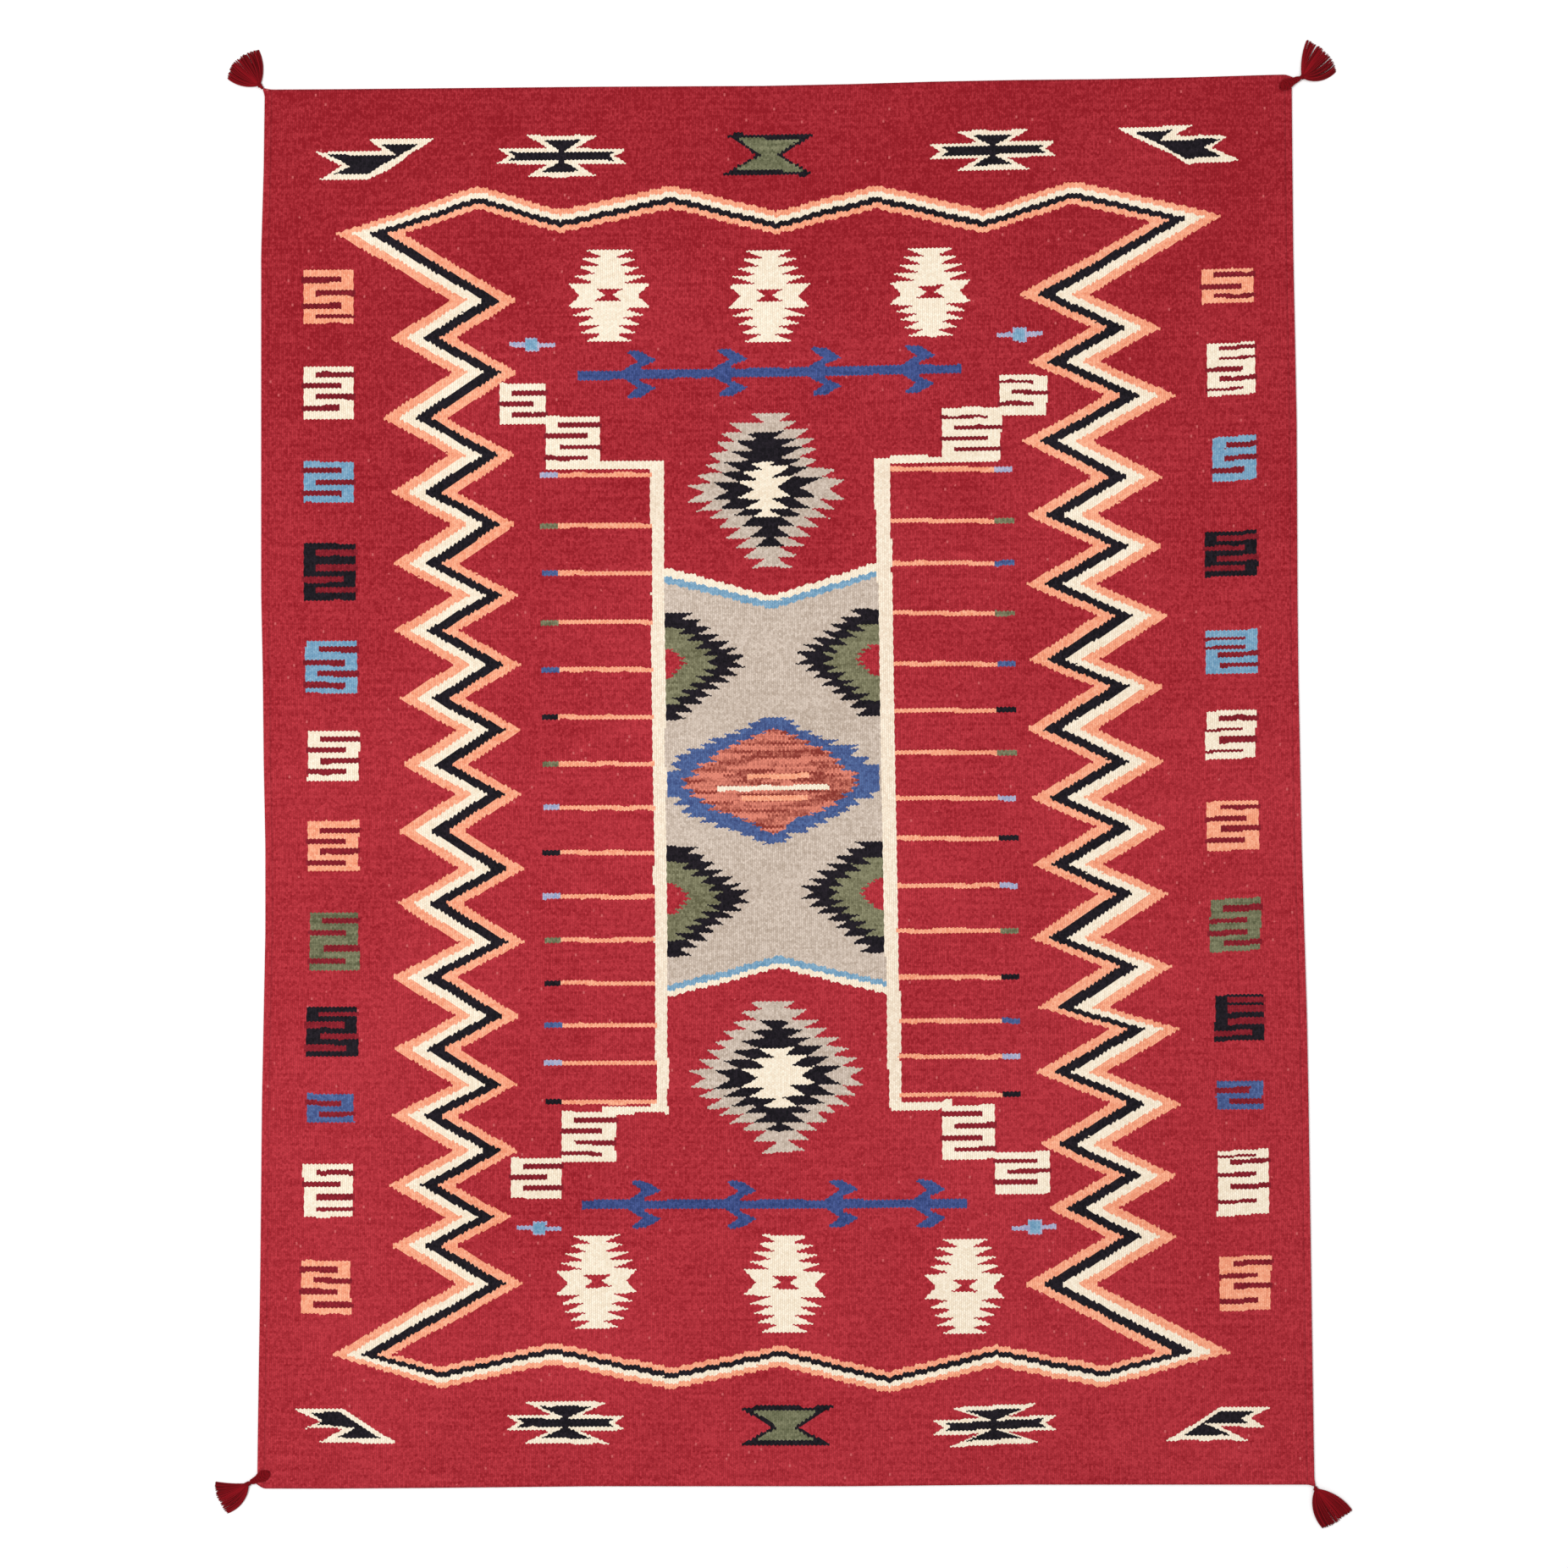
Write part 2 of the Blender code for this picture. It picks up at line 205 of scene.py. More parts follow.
# The key figures: a block with slots cut in from its left (L) or right (R). The heights run from
# the top: bar, slot, bar, slot and so on. The slope is how far a row falls for each pixel across.
KEY_END = 15.0
SIDE_KEYS = (
    # yarn, left, right, top, slope, slots, heights
    ("orange", 358, 418, 319.0, 0.0, "LRLR", (8, 7, 8.5, 7, 8.5, 7, 6.5, 4, 6)),
    ("cream", 357.5, 417, 433.0, 0.0, "RLRL", (6, 7, 6, 7, 6, 7, 6.5, 7.5, 9)),
    ("light_blue", 358.5, 417.5, 545.0, 0.0, "LRL", (7, 7, 7, 6.5, 7, 6.5, 7)),
    ("black", 358.5, 420, 641.5, 0.0, "RRLR", (7, 7.2, 10.8, 7, 7, 7, 6, 6.5, 8.5)),
    ("light_blue", 361, 422, 756.7, 0.0, "RLRL", (6.8, 7, 9.2, 6.8, 5.5, 7, 6.7, 7.3, 5.5)),
    ("cream", 363.7, 423.5, 863.0, 0.0, "RLRL", (6.5, 6.5, 6, 6.5, 6.5, 7, 6, 6.7, 7.8)),
    ("orange", 364, 424, 969.0, 0.0, "RLRL", (8.5, 6, 6.5, 6.5, 5.2, 6.8, 6.5, 6.5, 7.5)),
    ("sage", 366.5, 423.5, 1078.0, 0.0, "RLRL", (6.3, 6.4, 7.6, 6.7, 11.5, 7, 8, 7, 8)),
    ("black", 361.7, 422.5, 1189.0, 0.0, "RLRL", (6.7, 5, 6.3, 7.3, 6.4, 7.3, 6.5, 7, 6)),
    ("blue", 362.5, 418, 1292.0, 0.0, "LR", (7.7, 6, 6.8, 6, 7.2)),
    ("cream", 358, 417.7, 1375.0, 0.0, "RLRR", (7, 6.5, 7.2, 7.1, 7.7, 7.5, 7.7, 5.8, 6.5)),
    ("orange", 356, 414, 1489.0, 0.0, "LRLR", (7, 7.3, 6, 6.4, 6.3, 7, 8, 7.3, 7.2)),
    ("orange", 1419.5, 1481, 318.5, -0.05, "RLR", (4.5, 5.5, 8.5, 6, 5.5, 5, 6)),
    ("cream", 1425, 1482.7, 406.7, -0.07, "RRLRL", (3, 5, 8, 3.8, 8.2, 5.8, 5.7, 5.7, 7.3, 3.5, 6)),
    ("light_blue", 1432, 1484.4, 517.0, -0.07, "RRL", (6.9, 6.5, 8.6, 6, 7.9, 7.1, 9)),
    ("black", 1422.3, 1485, 628.0, -0.03, "RLRL", (4.9, 6.4, 5.7, 5.7, 6, 6.6, 5.7, 5.7, 7.3)),
    ("light_blue", 1424.3, 1485.4, 745.0, -0.04, "LLRR", (8.6, 3.5, 6.5, 4, 2.8, 6.2, 7.2, 5.3, 7.1)),
    ("cream", 1424.3, 1484, 840.3, -0.05, "RLRL", (6.1, 6.5, 8.1, 3.6, 6.1, 8.6, 6.7, 3.5, 7.5)),
    ("orange", 1425.7, 1486.4, 947.0, -0.03, "RLRL", (4.4, 5.6, 7.7, 6, 5.3, 6.9, 7.1, 6, 9)),
    ("sage", 1430, 1489.3, 1063.6, -0.07, "RLLR", (7.8, 7.9, 7.1, 5.6, 8.4, 6.6, 5.9, 6.4, 6.4)),
    ("black", 1434.6, 1493, 1176.0, -0.04, "RRRL", (3.2, 6, 3.4, 8, 6.9, 7.8, 6.5, 6, 6.1)),
    ("blue", 1436.7, 1491.7, 1277.0, 0.0, "LR", (6.9, 7.4, 6.7, 6.4, 6.4)),
    ("cream", 1438, 1499, 1359.4, -0.05, "LRLRL", (5, 3.2, 2.4, 6, 9.5, 5.5, 8.5, 6.5, 11.8, 4.6, 14)),
    ("orange", 1441.3, 1501.3, 1485.0, -0.04, "RLRL", (5, 6.6, 8.4, 5.9, 5.4, 7.1, 11, 6.2, 8.1)),
)
STEPPED_KEYS = (
    # yarn, left, right, top, slope, slots, heights
    ("cream", 589, 645, 453.0, 0.0, "RLR", (8, 6, 7, 6, 7, 6, 8)),
    ("cream", 645, 708, 492.0, 0.0, "RLRL", (7, 6, 7, 6, 7, 6, 7, 6, 9)),
    ("cream", 1180, 1236, 443.0, -0.01, "LRL", (6, 4, 8, 5, 8, 5, 11)),
    ("cream", 1113, 1182, 482.0, -0.03, "LRLR", (9, 4, 8, 5, 8, 5, 8, 5, 11)),
    ("cream", 664, 727, 1313.0, 0.0, "RLRL", (7, 6, 7, 6, 8, 5, 8, 5, 7)),
    ("cream", 603, 663, 1367.0, 0.0, "RLR", (7, 6, 7, 6, 7, 6, 9)),
    ("cream", 1113, 1175, 1307.0, -0.04, "LRLR", (7, 6, 8, 7, 7, 7, 7, 6, 9)),
    ("cream", 1175, 1240, 1362.0, -0.03, "LRL", (8, 5, 7, 5, 7, 6, 11)),
)

# The two posts and the lines that join them to the stepped keys: corners
POSTS = (
    ("ivory", ((768, 546), (784, 546), (789, 1312), (775, 1312))),
    ("ivory", ((1033, 546), (1051, 546), (1065, 1308), (1050, 1308))),
    ("cream", ((646, 546), (784, 544), (784, 553), (646, 554))),
    ("cream", ((1033, 540), (1180, 537), (1180, 545), (1033, 549))),
    ("cream", ((712, 1306), (789, 1306), (789, 1315), (712, 1315))),
    ("cream", ((1052, 1303), (1126, 1300), (1126, 1309), (1052, 1313))),
    ("cream", ((1113, 481), (1236, 480), (1236, 489), (1113, 490))),
)

# The pins on the posts' outer sides: how far down each lies, and its tip's yarn
PIN_THICKNESS = 5.2
PINS = (
    # left down, right down, tip yarn
    (561, 554, "pale_blue"),
    (621, 615, "olive"),
    (677, 665, "blue"),
    (735, 724, "olive"),
    (791, 784, "blue"),
    (847, 839, "black"),
    (902, 889, "olive"),
    (954, 943, "pale_blue"),
    (1007, 990, "black"),
    (1059, 1046, "pale_blue"),
    (1110, 1099, "olive"),
    (1161, 1154, "black"),
    (1211, 1206, "blue"),
    (1256, 1248, "pale_blue"),
    (1302, 1293, "black"),
)
PIN_TIP_MORE = 0.6
LEFT_PIN_ENDS = (638, 658, 770)
RIGHT_PIN_ENDS = (1052, 1174, 1196)
# The rows of pins lean: how far they drift across for each pixel down from the first
FIRST_PIN_DOWN = 556
LEFT_PIN_LEAN = 0.008
RIGHT_PIN_LEAN = 0.014

# The cream spindles: rows of teeth above and below the middle. Each half width and notch is given
# at the outermost row and at the row next to the middle.
SPINDLES = (
    # middle across, middle down, half height, slope
    (719, 349, 54, 0.0),
    (908, 349.5, 53.5, -0.02),
    (1099, 345, 52, -0.035),
    (705, 1514, 55, -0.03),
    (927, 1516, 57, 0.03),
    (1139, 1519.5, 56, -0.01),
)
SPINDLE_ROWS = 5
SPINDLE_WAIST = 0.35
SPINDLE_CUT = 0.86
SPINDLE_TIPS = (27.5, 48.0)
SPINDLE_NOTCHES = (8.0, 21.0)
SPINDLE_FORK = 14.0
BOW = ((-17, 7.5), (17, 7.5), (3, -0.8), (-3, -0.8))
BOW_RISE = 1

# The serrated ovals, each layer over the one before
OVALS = (
    # yarn, outline corner by corner
    ("taupe", (
        (886, 488), (935, 487.5), (921, 497), (942, 497), (926, 506), (956, 506), (940, 517),
        (962, 518), (945, 528), (967, 529.5), (944, 539), (966, 543), (950, 551), (987, 554.5),
        (970, 563.5), (998, 566.5), (979, 577.5), (998, 590), (968, 589.5), (986, 601), (958, 600.5),
        (979, 611.5), (950, 611), (969, 623), (940, 622), (959, 634), (930, 633.5), (950, 645),
        (920, 645.5), (942, 657), (917, 658.5), (935, 670), (888, 670), (903, 660.5), (877, 658),
        (894, 646.5), (867, 648), (886, 635), (858, 636), (874, 624), (848, 624), (862, 612),
        (837, 612.5), (854, 602), (822, 604), (842, 592.5), (811, 593), (831, 581), (811, 573),
        (840, 570.5), (821, 561), (853, 558), (831, 550), (852, 546.5), (836, 536), (860, 533.5),
        (846, 523), (867, 521.5), (851, 512.5), (876, 510), (860, 500), (902, 498.5),
    )),
    ("black", (
        (881, 511.5), (926, 509), (912, 518.3), (940, 518.3), (921, 528.6), (950, 526.5),
        (921.5, 541.5), (945, 542), (932, 550), (954, 551.5), (934, 562), (971, 564.3), (945, 575.5),
        (964.5, 587), (937, 588.5), (956, 600), (933, 600.5), (947, 609.3), (921.5, 609.3),
        (939, 620.7), (917, 620.7), (933.5, 633.6), (913.5, 633.6), (926.5, 645.4), (892, 645.7),
        (907, 633.6), (886, 634.3), (902, 621.4), (876, 621.5), (890, 610), (866, 610), (881, 601.5),
        (851, 601.4), (864, 590.5), (841, 590.3), (859, 580.7), (841, 570.3), (871.5, 569), (850, 559),
        (876, 556.5), (856, 547), (885, 544), (865, 534), (889, 531.7), (868.5, 521.4), (894, 518.5),
    )),
    ("cream", (
        (886.5, 547), (917, 545), (908, 550.7), (933.5, 551), (912, 564.3), (935, 563), (917, 575.4),
        (934.5, 586), (911.5, 588), (931.5, 599.7), (907, 600), (921.5, 609.3), (891.5, 610),
        (903.5, 601.7), (880, 600.7), (900, 589.7), (870, 589.3), (890.7, 578), (870, 569.3),
        (895, 566.4), (876.5, 558), (900, 554),
    )),
    ("taupe", (
        (884.5, 1184), (939, 1181.7), (926, 1190.7), (952, 1192), (934, 1203.6), (967.7, 1204.3),
        (948.5, 1214), (977, 1214.7), (960, 1225), (991.5, 1225.7), (975, 1235), (1003, 1238),
        (982, 1247), (1012.7, 1249.7), (993, 1259.3), (1020.5, 1261.4), (1002.7, 1271.4), (1021, 1283),
        (994, 1281.7), (1012.7, 1294), (985.5, 1294), (1002.7, 1306), (975.5, 1305), (987, 1314.3),
        (965, 1313.6), (977, 1325), (952.7, 1325.7), (965.6, 1334.6), (941, 1335.7), (957, 1345.7),
        (930, 1347), (952, 1359), (899, 1361.7), (919, 1347.4), (890.3, 1347), (905, 1335.7),
        (875.6, 1334.6), (890, 1326.4), (860.3, 1327), (880, 1315.7), (849, 1317), (863.5, 1308),
        (832, 1309.3), (852.7, 1297), (823.5, 1296.4), (842.7, 1286), (814, 1285), (833, 1273.6),
        (812.7, 1264), (843, 1262), (824, 1252), (850.5, 1250.3), (833.4, 1240), (859, 1238.3),
        (844, 1230), (868, 1227), (853.5, 1218), (881, 1215.5), (864.5, 1206.7), (894, 1204.5),
        (874, 1195), (900.5, 1192.6),
    )),
    ("black", (
        (896.3, 1205.4), (933.4, 1205.7), (922.7, 1214.3), (949, 1215.4), (930.3, 1225.4),
        (960, 1224.6), (939, 1234), (973.5, 1235.4), (954, 1247), (980.6, 1248.3), (963.5, 1259),
        (994, 1260), (974, 1269.7), (993.5, 1281.7), (964, 1280.7), (985.6, 1293.6), (955, 1293.6),
        (975, 1303.6), (942, 1305), (960.6, 1313), (933, 1314), (952.7, 1325), (923.5, 1325.5),
        (939, 1334.3), (920, 1336), (902.7, 1333.6), (919.5, 1326), (889, 1325.4), (909, 1315.4),
        (880, 1315), (895, 1306.4), (863.5, 1307), (882.7, 1297), (852.7, 1295.4), (875, 1285),
        (842, 1285), (862.7, 1274.6), (843.5, 1263), (873.7, 1262), (853.5, 1251.7), (886, 1250.3),
        (863.5, 1240.7), (896, 1238.3), (875.6, 1229.3), (905, 1225.4), (884.6, 1217.4), (914, 1216),
    )),
    ("cream", (
        (896.3, 1239), (937.7, 1237), (927.5, 1246.4), (954, 1247), (935, 1260), (962.7, 1259.7),
        (946, 1269.7), (963.4, 1279.5), (932.7, 1282), (951.3, 1293), (924, 1295.4), (941.3, 1305.7),
        (921, 1308.3), (901.3, 1307), (918.4, 1297.4), (885, 1296.4), (904, 1284.6), (875, 1285),
        (895, 1273), (875.6, 1263), (905.6, 1260.7), (887, 1250.7), (914.6, 1248.3),
    )),
)

# The taupe panel and the half diamonds that lean on its posts
PANEL = ((783, 676), (911, 710), (1040, 672), (1052, 1165), (920, 1131), (785, 1170))
HALF_DIAMONDS = (
    # post edge across, side it points to, middle down, height share
    (784, 1, 787.0, 1.0),
    (1037, -1, 783.0, 0.99),
    (789, 1, 1065.0, 1.015),
    (1043, -1, 1059.5, 1.03),
)
HALF_DIAMOND_LAYERS = (
    # yarn, outline from the post's edge and the middle
    ("black", (
        (-2, -64.5), (35.4, -63.7), (19.9, -55.3), (44.9, -55.3), (36, -48), (56.6, -46.2),
        (41, -38.1), (68, -38.3), (51, -30), (77.7, -29.8), (64, -21), (87.7, -21.1), (73, -14.2),
        (96.9, -13.1), (82.7, -5.3), (96.9, 1.6), (75, 2.7), (87.3, 10.4), (66, 11.5), (78, 18.8),
        (53.8, 19), (68, 26.9), (43, 27.8), (57.3, 35), (37.7, 36.7), (47.3, 44.7), (22.7, 45),
        (36.6, 53), (13, 54.7), (27.7, 62.7), (6, 64.5), (-2, 64),
    )),
    ("olive", (
        (-2, -46), (25.4, -45), (15.4, -38.1), (38, -37.5), (25, -29.8), (47, -29), (36, -20.6),
        (57, -21), (46.6, -12.6), (65, -12.5), (51.6, -5.6), (65, 1.5), (46.6, 4), (61.6, 11),
        (37, 10.8), (50.4, 19), (26.6, 20.2), (41.6, 26.5), (17.7, 28.3), (32.7, 35.2), (8, 37),
        (22, 44), (2, 45.8), (-2, 45),
    )),
    ("red", (
        (-2, -21.5), (13, -20.5), (8, -17.5), (20, -16), (15, -12.5), (26, -10.5), (19, -7),
        (29, -3.5), (17, -1), (24, 2), (13, 4), (18, 7), (9, 8.5), (12, 12), (4, 15), (-2, 15),
    )),
)

UPPER_CHEVRON_ACROSS = (782, 911, 1036)
LOWER_CHEVRON_ACROSS = (786, 921, 1054)
CHEVRONS = (
    # yarn, upper edge and lower edge: left, middle and right heights
    ("cream", (669, 704, 664), (680, 712, 677)),
    ("light_blue", (679, 711, 674), (687, 719.5, 681)),
    ("light_blue", (1165, 1129, 1161), (1173, 1138, 1168)),
    ("cream", (1172, 1137, 1167), (1178.5, 1143, 1176)),
)

# The blue branches: a bar with hooked barbs
BRANCHES = (
    # left, right, left middle, right middle, barbs across
    (682, 1136, 443.5, 435.5, (751, 859, 970, 1080)),
    (687, 1143, 1423.0, 1421.5, (757, 870, 990, 1094)),
)
BRANCH_HALF = 5.2
BARB = ((-20, -2), (2, -16), (-11, -26), (-8, -28.5), (6, -27.5), (24, -16.5), (6, -9), (3, -2))

CROSS_ARM = 27
CROSS_ARM_HALF = 2.6
CROSS_RIM = 1.5
SMALL_CROSSES = (
    # middle across, middle down, half block, slope
    (628, 407.5, 8.0, 0.02),
    (1204, 394.5, 8.5, -0.05),
    (637, 1450.5, 8.0, -0.01),
    (1222, 1449.5, 8.5, -0.04),
)

# The black crosses with forked ends
CROSSES = (
    # middle across, middle down, half bar, top half, bottom half, half height, slope
    (663.5, 184.3, 76.0, 41.0, 42.0, 24.3, 0.0),
    (1172.5, 177.0, 74.5, 43.5, 43.0, 23.5, -0.025),
    (668.5, 1680.5, 70.5, 50.0, 50.0, 24.5, 0.0),
    (1174.5, 1683.2, 72.0, 52.0, 54.0, 23.5, -0.045),
)

HOURGLASSES = (
    # middle across, top, waist and bottom: heights, then half widths outside and inside
    (908, (158, 183, 207), (53.0, 14.5, 56.0), (37.0, 9.5, 42.0)),
    (928, (1661, 1686, 1707), (57.0, 16.0, 54.0), (38.0, 9.0, 36.0)),
)
HOURGLASS_RIM = 5.5

ARROWS = (
    # outline in cream, then the black inside
    (
        ((374, 180), (404, 197), (376, 213), (433, 212), (459, 201), (485, 181), (512, 164),
         (434, 163), (452, 178)),
        ((388, 183), (467, 183), (448, 170), (493, 170), (473, 183), (453, 194), (434, 205.5),
         (395, 206), (413, 197)),
    ),
    (
        ((1319, 151), (1409, 147.5), (1386, 160), (1451, 160), (1430, 174), (1464, 188), (1458, 190),
         (1403, 193.5), (1384, 182), (1340, 162)),
        ((1340, 156.5), (1385, 153.5), (1368, 166), (1444, 163.5), (1422, 174), (1443, 185),
         (1400, 187.5), (1368, 169)),
    ),
    (
        ((347, 1664.5), (405, 1664), (429, 1680), (470, 1704), (378, 1704), (407, 1688), (360, 1687),
         (379, 1679.5)),
        ((366, 1669), (402, 1668.5), (451, 1698.5), (398, 1698.5), (420, 1686.5), (375, 1683.5),
         (382, 1679)),
    ),
    (
        ((1378, 1701), (1415, 1680), (1441, 1663), (1500, 1662), (1476, 1674.5), (1492, 1685),
         (1441, 1685), (1473, 1701)),
        ((1398, 1696), (1420, 1681), (1443, 1666.5), (1482, 1666), (1466, 1675.5), (1473, 1680.5),
         (1424, 1681.5), (1453, 1695)),
    ),
)

# The middle diamond and the dashes in it
DIAMOND_LAYERS = (
    # yarn, outline corner by corner
    ("blue", (
        (913, 848), (931.5, 847.3), (927, 850), (940.7, 851.6), (932, 856), (945.7, 857),
        (939.3, 862.3), (960.7, 863.3), (954.3, 868), (971.5, 869.4), (965.7, 873), (990.7, 873.4),
        (978.6, 879.4), (1014.6, 879.6), (1005, 883.7), (1014.6, 885), (1003.6, 893), (1027, 894),
        (1020, 900), (1022, 903), (1038.6, 903), (1038.6, 935), (1025.7, 936.6), (1033, 942.3),
        (1008.6, 943.7), (1015.7, 950), (997, 952.3), (1006, 957.6), (988, 958.7), (993.6, 964),
        (972, 966), (978.3, 971.3), (960, 972.3), (969, 977.3), (950.7, 978), (955.4, 983.7),
        (928.6, 983.7), (935, 989.4), (924, 990), (931.4, 995.6), (913, 996.5), (901, 997.3),
        (906, 993), (888.3, 992.3), (893.3, 988), (873.3, 986.6), (877.6, 982.3), (858.6, 981),
        (864, 977.3), (843.3, 976.6), (849, 971), (827.6, 971), (836, 966), (812.3, 965), (819, 961),
        (803.7, 960), (814.7, 951), (794.3, 950), (806, 942.3), (787.5, 941), (786, 911), (804, 909),
        (790.4, 901.6), (805.4, 897.3), (797, 892.3), (819, 889.4), (811, 885), (836, 883),
        (826, 878.7), (847, 878), (837, 873.4), (863.3, 870), (853, 867.6), (875.4, 866), (867, 862),
        (889.7, 860), (881.4, 855), (899, 852), (894.7, 848.7),
    )),
    ("rust", (
        (913, 861), (918.6, 862), (934, 865), (925, 867), (944, 868), (939, 872), (960, 876),
        (950, 880), (975, 883), (968, 886), (985.7, 887), (978.6, 893), (994, 896), (985, 901),
        (1001, 905), (994, 909), (1017, 912.5), (1006, 917), (1016, 921), (1007, 924), (1017, 927),
        (1003, 930), (1010, 934), (994, 937), (1001, 941), (984, 946), (990, 950), (970, 953),
        (977, 957), (955, 960), (964, 963), (940, 965), (938.6, 969), (929, 975), (927, 979),
        (918.6, 983), (913, 986.5), (909.7, 983), (897, 979), (900, 976), (888, 974), (892.6, 971.5),
        (874, 970), (884, 967), (864, 964.5), (870, 961.5), (846, 960), (852.6, 957.5), (835, 956.5),
        (847, 951), (825, 948.5), (832.6, 944), (814, 941), (821, 937), (812, 935.5), (825, 933.5),
        (803, 930.5), (812.6, 925), (803, 919.5), (825, 915.5), (816, 910), (830, 906), (823, 902.5),
        (846, 900), (836, 895), (850, 891.5), (845, 888), (864, 883), (856, 881), (877.6, 878),
        (870, 875.5), (894, 872), (884, 869.5), (905, 866.5), (900, 864),
    )),
)
DIAMOND_DASHES = (
    ("orange", ((882, 914.5), (956, 912.5), (956, 919), (882, 920))),
    ("cream", ((847, 928.5), (979, 926.5), (979, 932.5), (847, 934.5))),
    ("orange", ((877, 939.5), (953, 939), (953, 945), (877, 946))),
)

# Hand weaving wanders: how far, in photograph pixels, and over how many cells
UNEVEN_SEED = 11
UNEVEN_CELLS = (70, 34)
UNEVEN_PIXELS = 0.9
WINDOW_MARGIN = 14


def plan(point):
    """A pair in millimetres as a numpy vector in metres."""
    return np.array(point, float) * MM


def edge_lines():
    """The four edges as station tables in metres that reach from corner to corner."""
    corner = {name: plan(places[:2]) for name, places in CORNERS.items()}
    sides = sorted(SIDE_STATIONS)
    left = [corner["bottom_left"]] + [plan((edge, up)) for up, edge, _ in sides]
    left.append(corner["top_left"])
    right = [corner["bottom_right"]] + [plan((edge, up)) for up, _, edge in sides]
    right.append(corner["top_right"])
    top = [corner["top_left"]] + [plan((across, up)) for across, up, _ in END_STATIONS]
    top.append(corner["top_right"])
    bottom = [corner["bottom_left"]] + [plan((across, down)) for across, _, down in END_STATIONS]
    bottom.append(corner["bottom_right"])
    return np.array(left), np.array(right), np.array(top), np.array(bottom)


LEFT_EDGE, RIGHT_EDGE, TOP_EDGE, BOTTOM_EDGE = edge_lines()


def along(edge, axis, share):
    """Points on an edge at these shares of its reach along one axis."""
    reach = edge[0, axis] + (edge[-1, axis] - edge[0, axis]) * share
    points = np.empty(share.shape + (2,))
    points[..., axis] = reach
    points[..., 1 - axis] = np.interp(reach, edge[:, axis], edge[:, 1 - axis])
    return points


def lay_out(warp, pick):
    """Where lattice places lie in metres: warps counted from the left, picks from the top."""
    inset = RIM_RINGS[0][0]
    u = np.asarray(warp, float)[..., None] / WARPS
    v = 1 - np.asarray(pick, float)[..., None] / PICKS
    left = along(LEFT_EDGE, 1, v[..., 0]) + (inset, 0)
    right = along(RIGHT_EDGE, 1, v[..., 0]) - (inset, 0)
    top = along(TOP_EDGE, 0, u[..., 0]) - (0, inset)
    bottom = along(BOTTOM_EDGE, 0, u[..., 0]) + (0, inset)
    corner = {name: plan(places[:2]) for name, places in CORNERS.items()}
    low = (1 - u) * (corner["bottom_left"] + (inset, inset))
    low = low + u * (corner["bottom_right"] + (-inset, inset))
    high = (1 - u) * (corner["top_left"] + (inset, -inset))
    high = high + u * (corner["top_right"] + (-inset, -inset))
    places = (1 - u) * left + u * right + v * top + (1 - v) * bottom - (1 - v) * low - v * high
    for name, table in CORNERS.items():
        drawn = plan(table[2:]) - corner[name]
        away = np.linalg.norm(places - corner[name], axis=-1, keepdims=True)
        places = places + drawn * np.clip(1 - away / CORNER_REACH, 0, 1) ** 2
    return places


def smooth_field(shape, cells, seed):
    """A gently varying random field, from -1 to 1."""
    draw = np.random.default_rng(seed)
    coarse = draw.uniform(-1, 1, cells)
    rows = np.linspace(0, cells[0] - 1, shape[0])
    columns = np.linspace(0, cells[1] - 1, shape[1])
    tall = np.array([np.interp(rows, np.arange(cells[0]), line) for line in coarse.T]).T
    return np.array([np.interp(columns, np.arange(cells[1]), line) for line in tall])


class Chart:
    """The weaver's chart: a yarn for every place where a pick crosses a warp, top row first."""

    def __init__(self):
        warp, pick = np.meshgrid(np.arange(WARPS) + 0.5, np.arange(PICKS) + 0.5)
        places = lay_out(warp, pick)
        self.across = PHOTO_MIDDLE + places[..., 0] / PIXEL
        self.down = PHOTO_MIDDLE - places[..., 1] / PIXEL
        self.across += UNEVEN_PIXELS * smooth_field(warp.shape, UNEVEN_CELLS, UNEVEN_SEED)
        self.down += UNEVEN_PIXELS * smooth_field(warp.shape, UNEVEN_CELLS[::-1], UNEVEN_SEED + 1)
        self.paired = (self.down[0::2] + self.down[1::2]).repeat(2, axis=0) / 2
        self.yarn = np.full(warp.shape, YARN_NAMES.index("red"), np.int8)

    def window(self, corners):
        """The rows and columns that may hold these corners."""
        xs = [corner[0] for corner in corners]
        ys = [corner[1] for corner in corners]
        middle_row = self.across[PICKS // 2]
        middle_column = self.down[:, WARPS // 2]
        ends = (min(xs) - WINDOW_MARGIN, max(xs) + WINDOW_MARGIN)
        first, last = np.searchsorted(middle_row, ends)
        ends = (min(ys) - WINDOW_MARGIN, max(ys) + WINDOW_MARGIN)
        upper, lower = np.searchsorted(middle_column, ends)
        return slice(upper, lower), slice(first, last)

    def polygon(self, corners, yarn, single=False):
        """Fill a closed shape with one yarn. The weaver lays picks in pairs, there and back, and
        only thin lines go by single picks."""
        part = self.window(corners)
        x = self.across[part]
        y = self.down[part] if single else self.paired[part]
        inside = np.zeros(x.shape, bool)
        for (x0, y0), (x1, y1) in zip(corners, tuple(corners[1:]) + (corners[0],)):
            if y0 != y1:
                crosses = (y0 > y) != (y1 > y)
                inside ^= crosses & (x < x0 + (y - y0) * (x1 - x0) / (y1 - y0))
        self.yarn[part][inside] = YARN_NAMES.index(yarn)

    def figure(self, across, down, slope, outline, yarn):
        """Fill an outline drawn round its own middle, whose rows fall by the slope."""
        corners = [(across + x, down + y + slope * x) for x, y in outline]
        self.polygon(corners, yarn, single=True)


def block(left, right, top, bottom, slope=0.0):
    """A block whose rows fall by the slope from its left side."""
    fall = slope * (right - left)
    return ((left, top), (right, top + fall), (right, bottom + fall), (left, bottom))


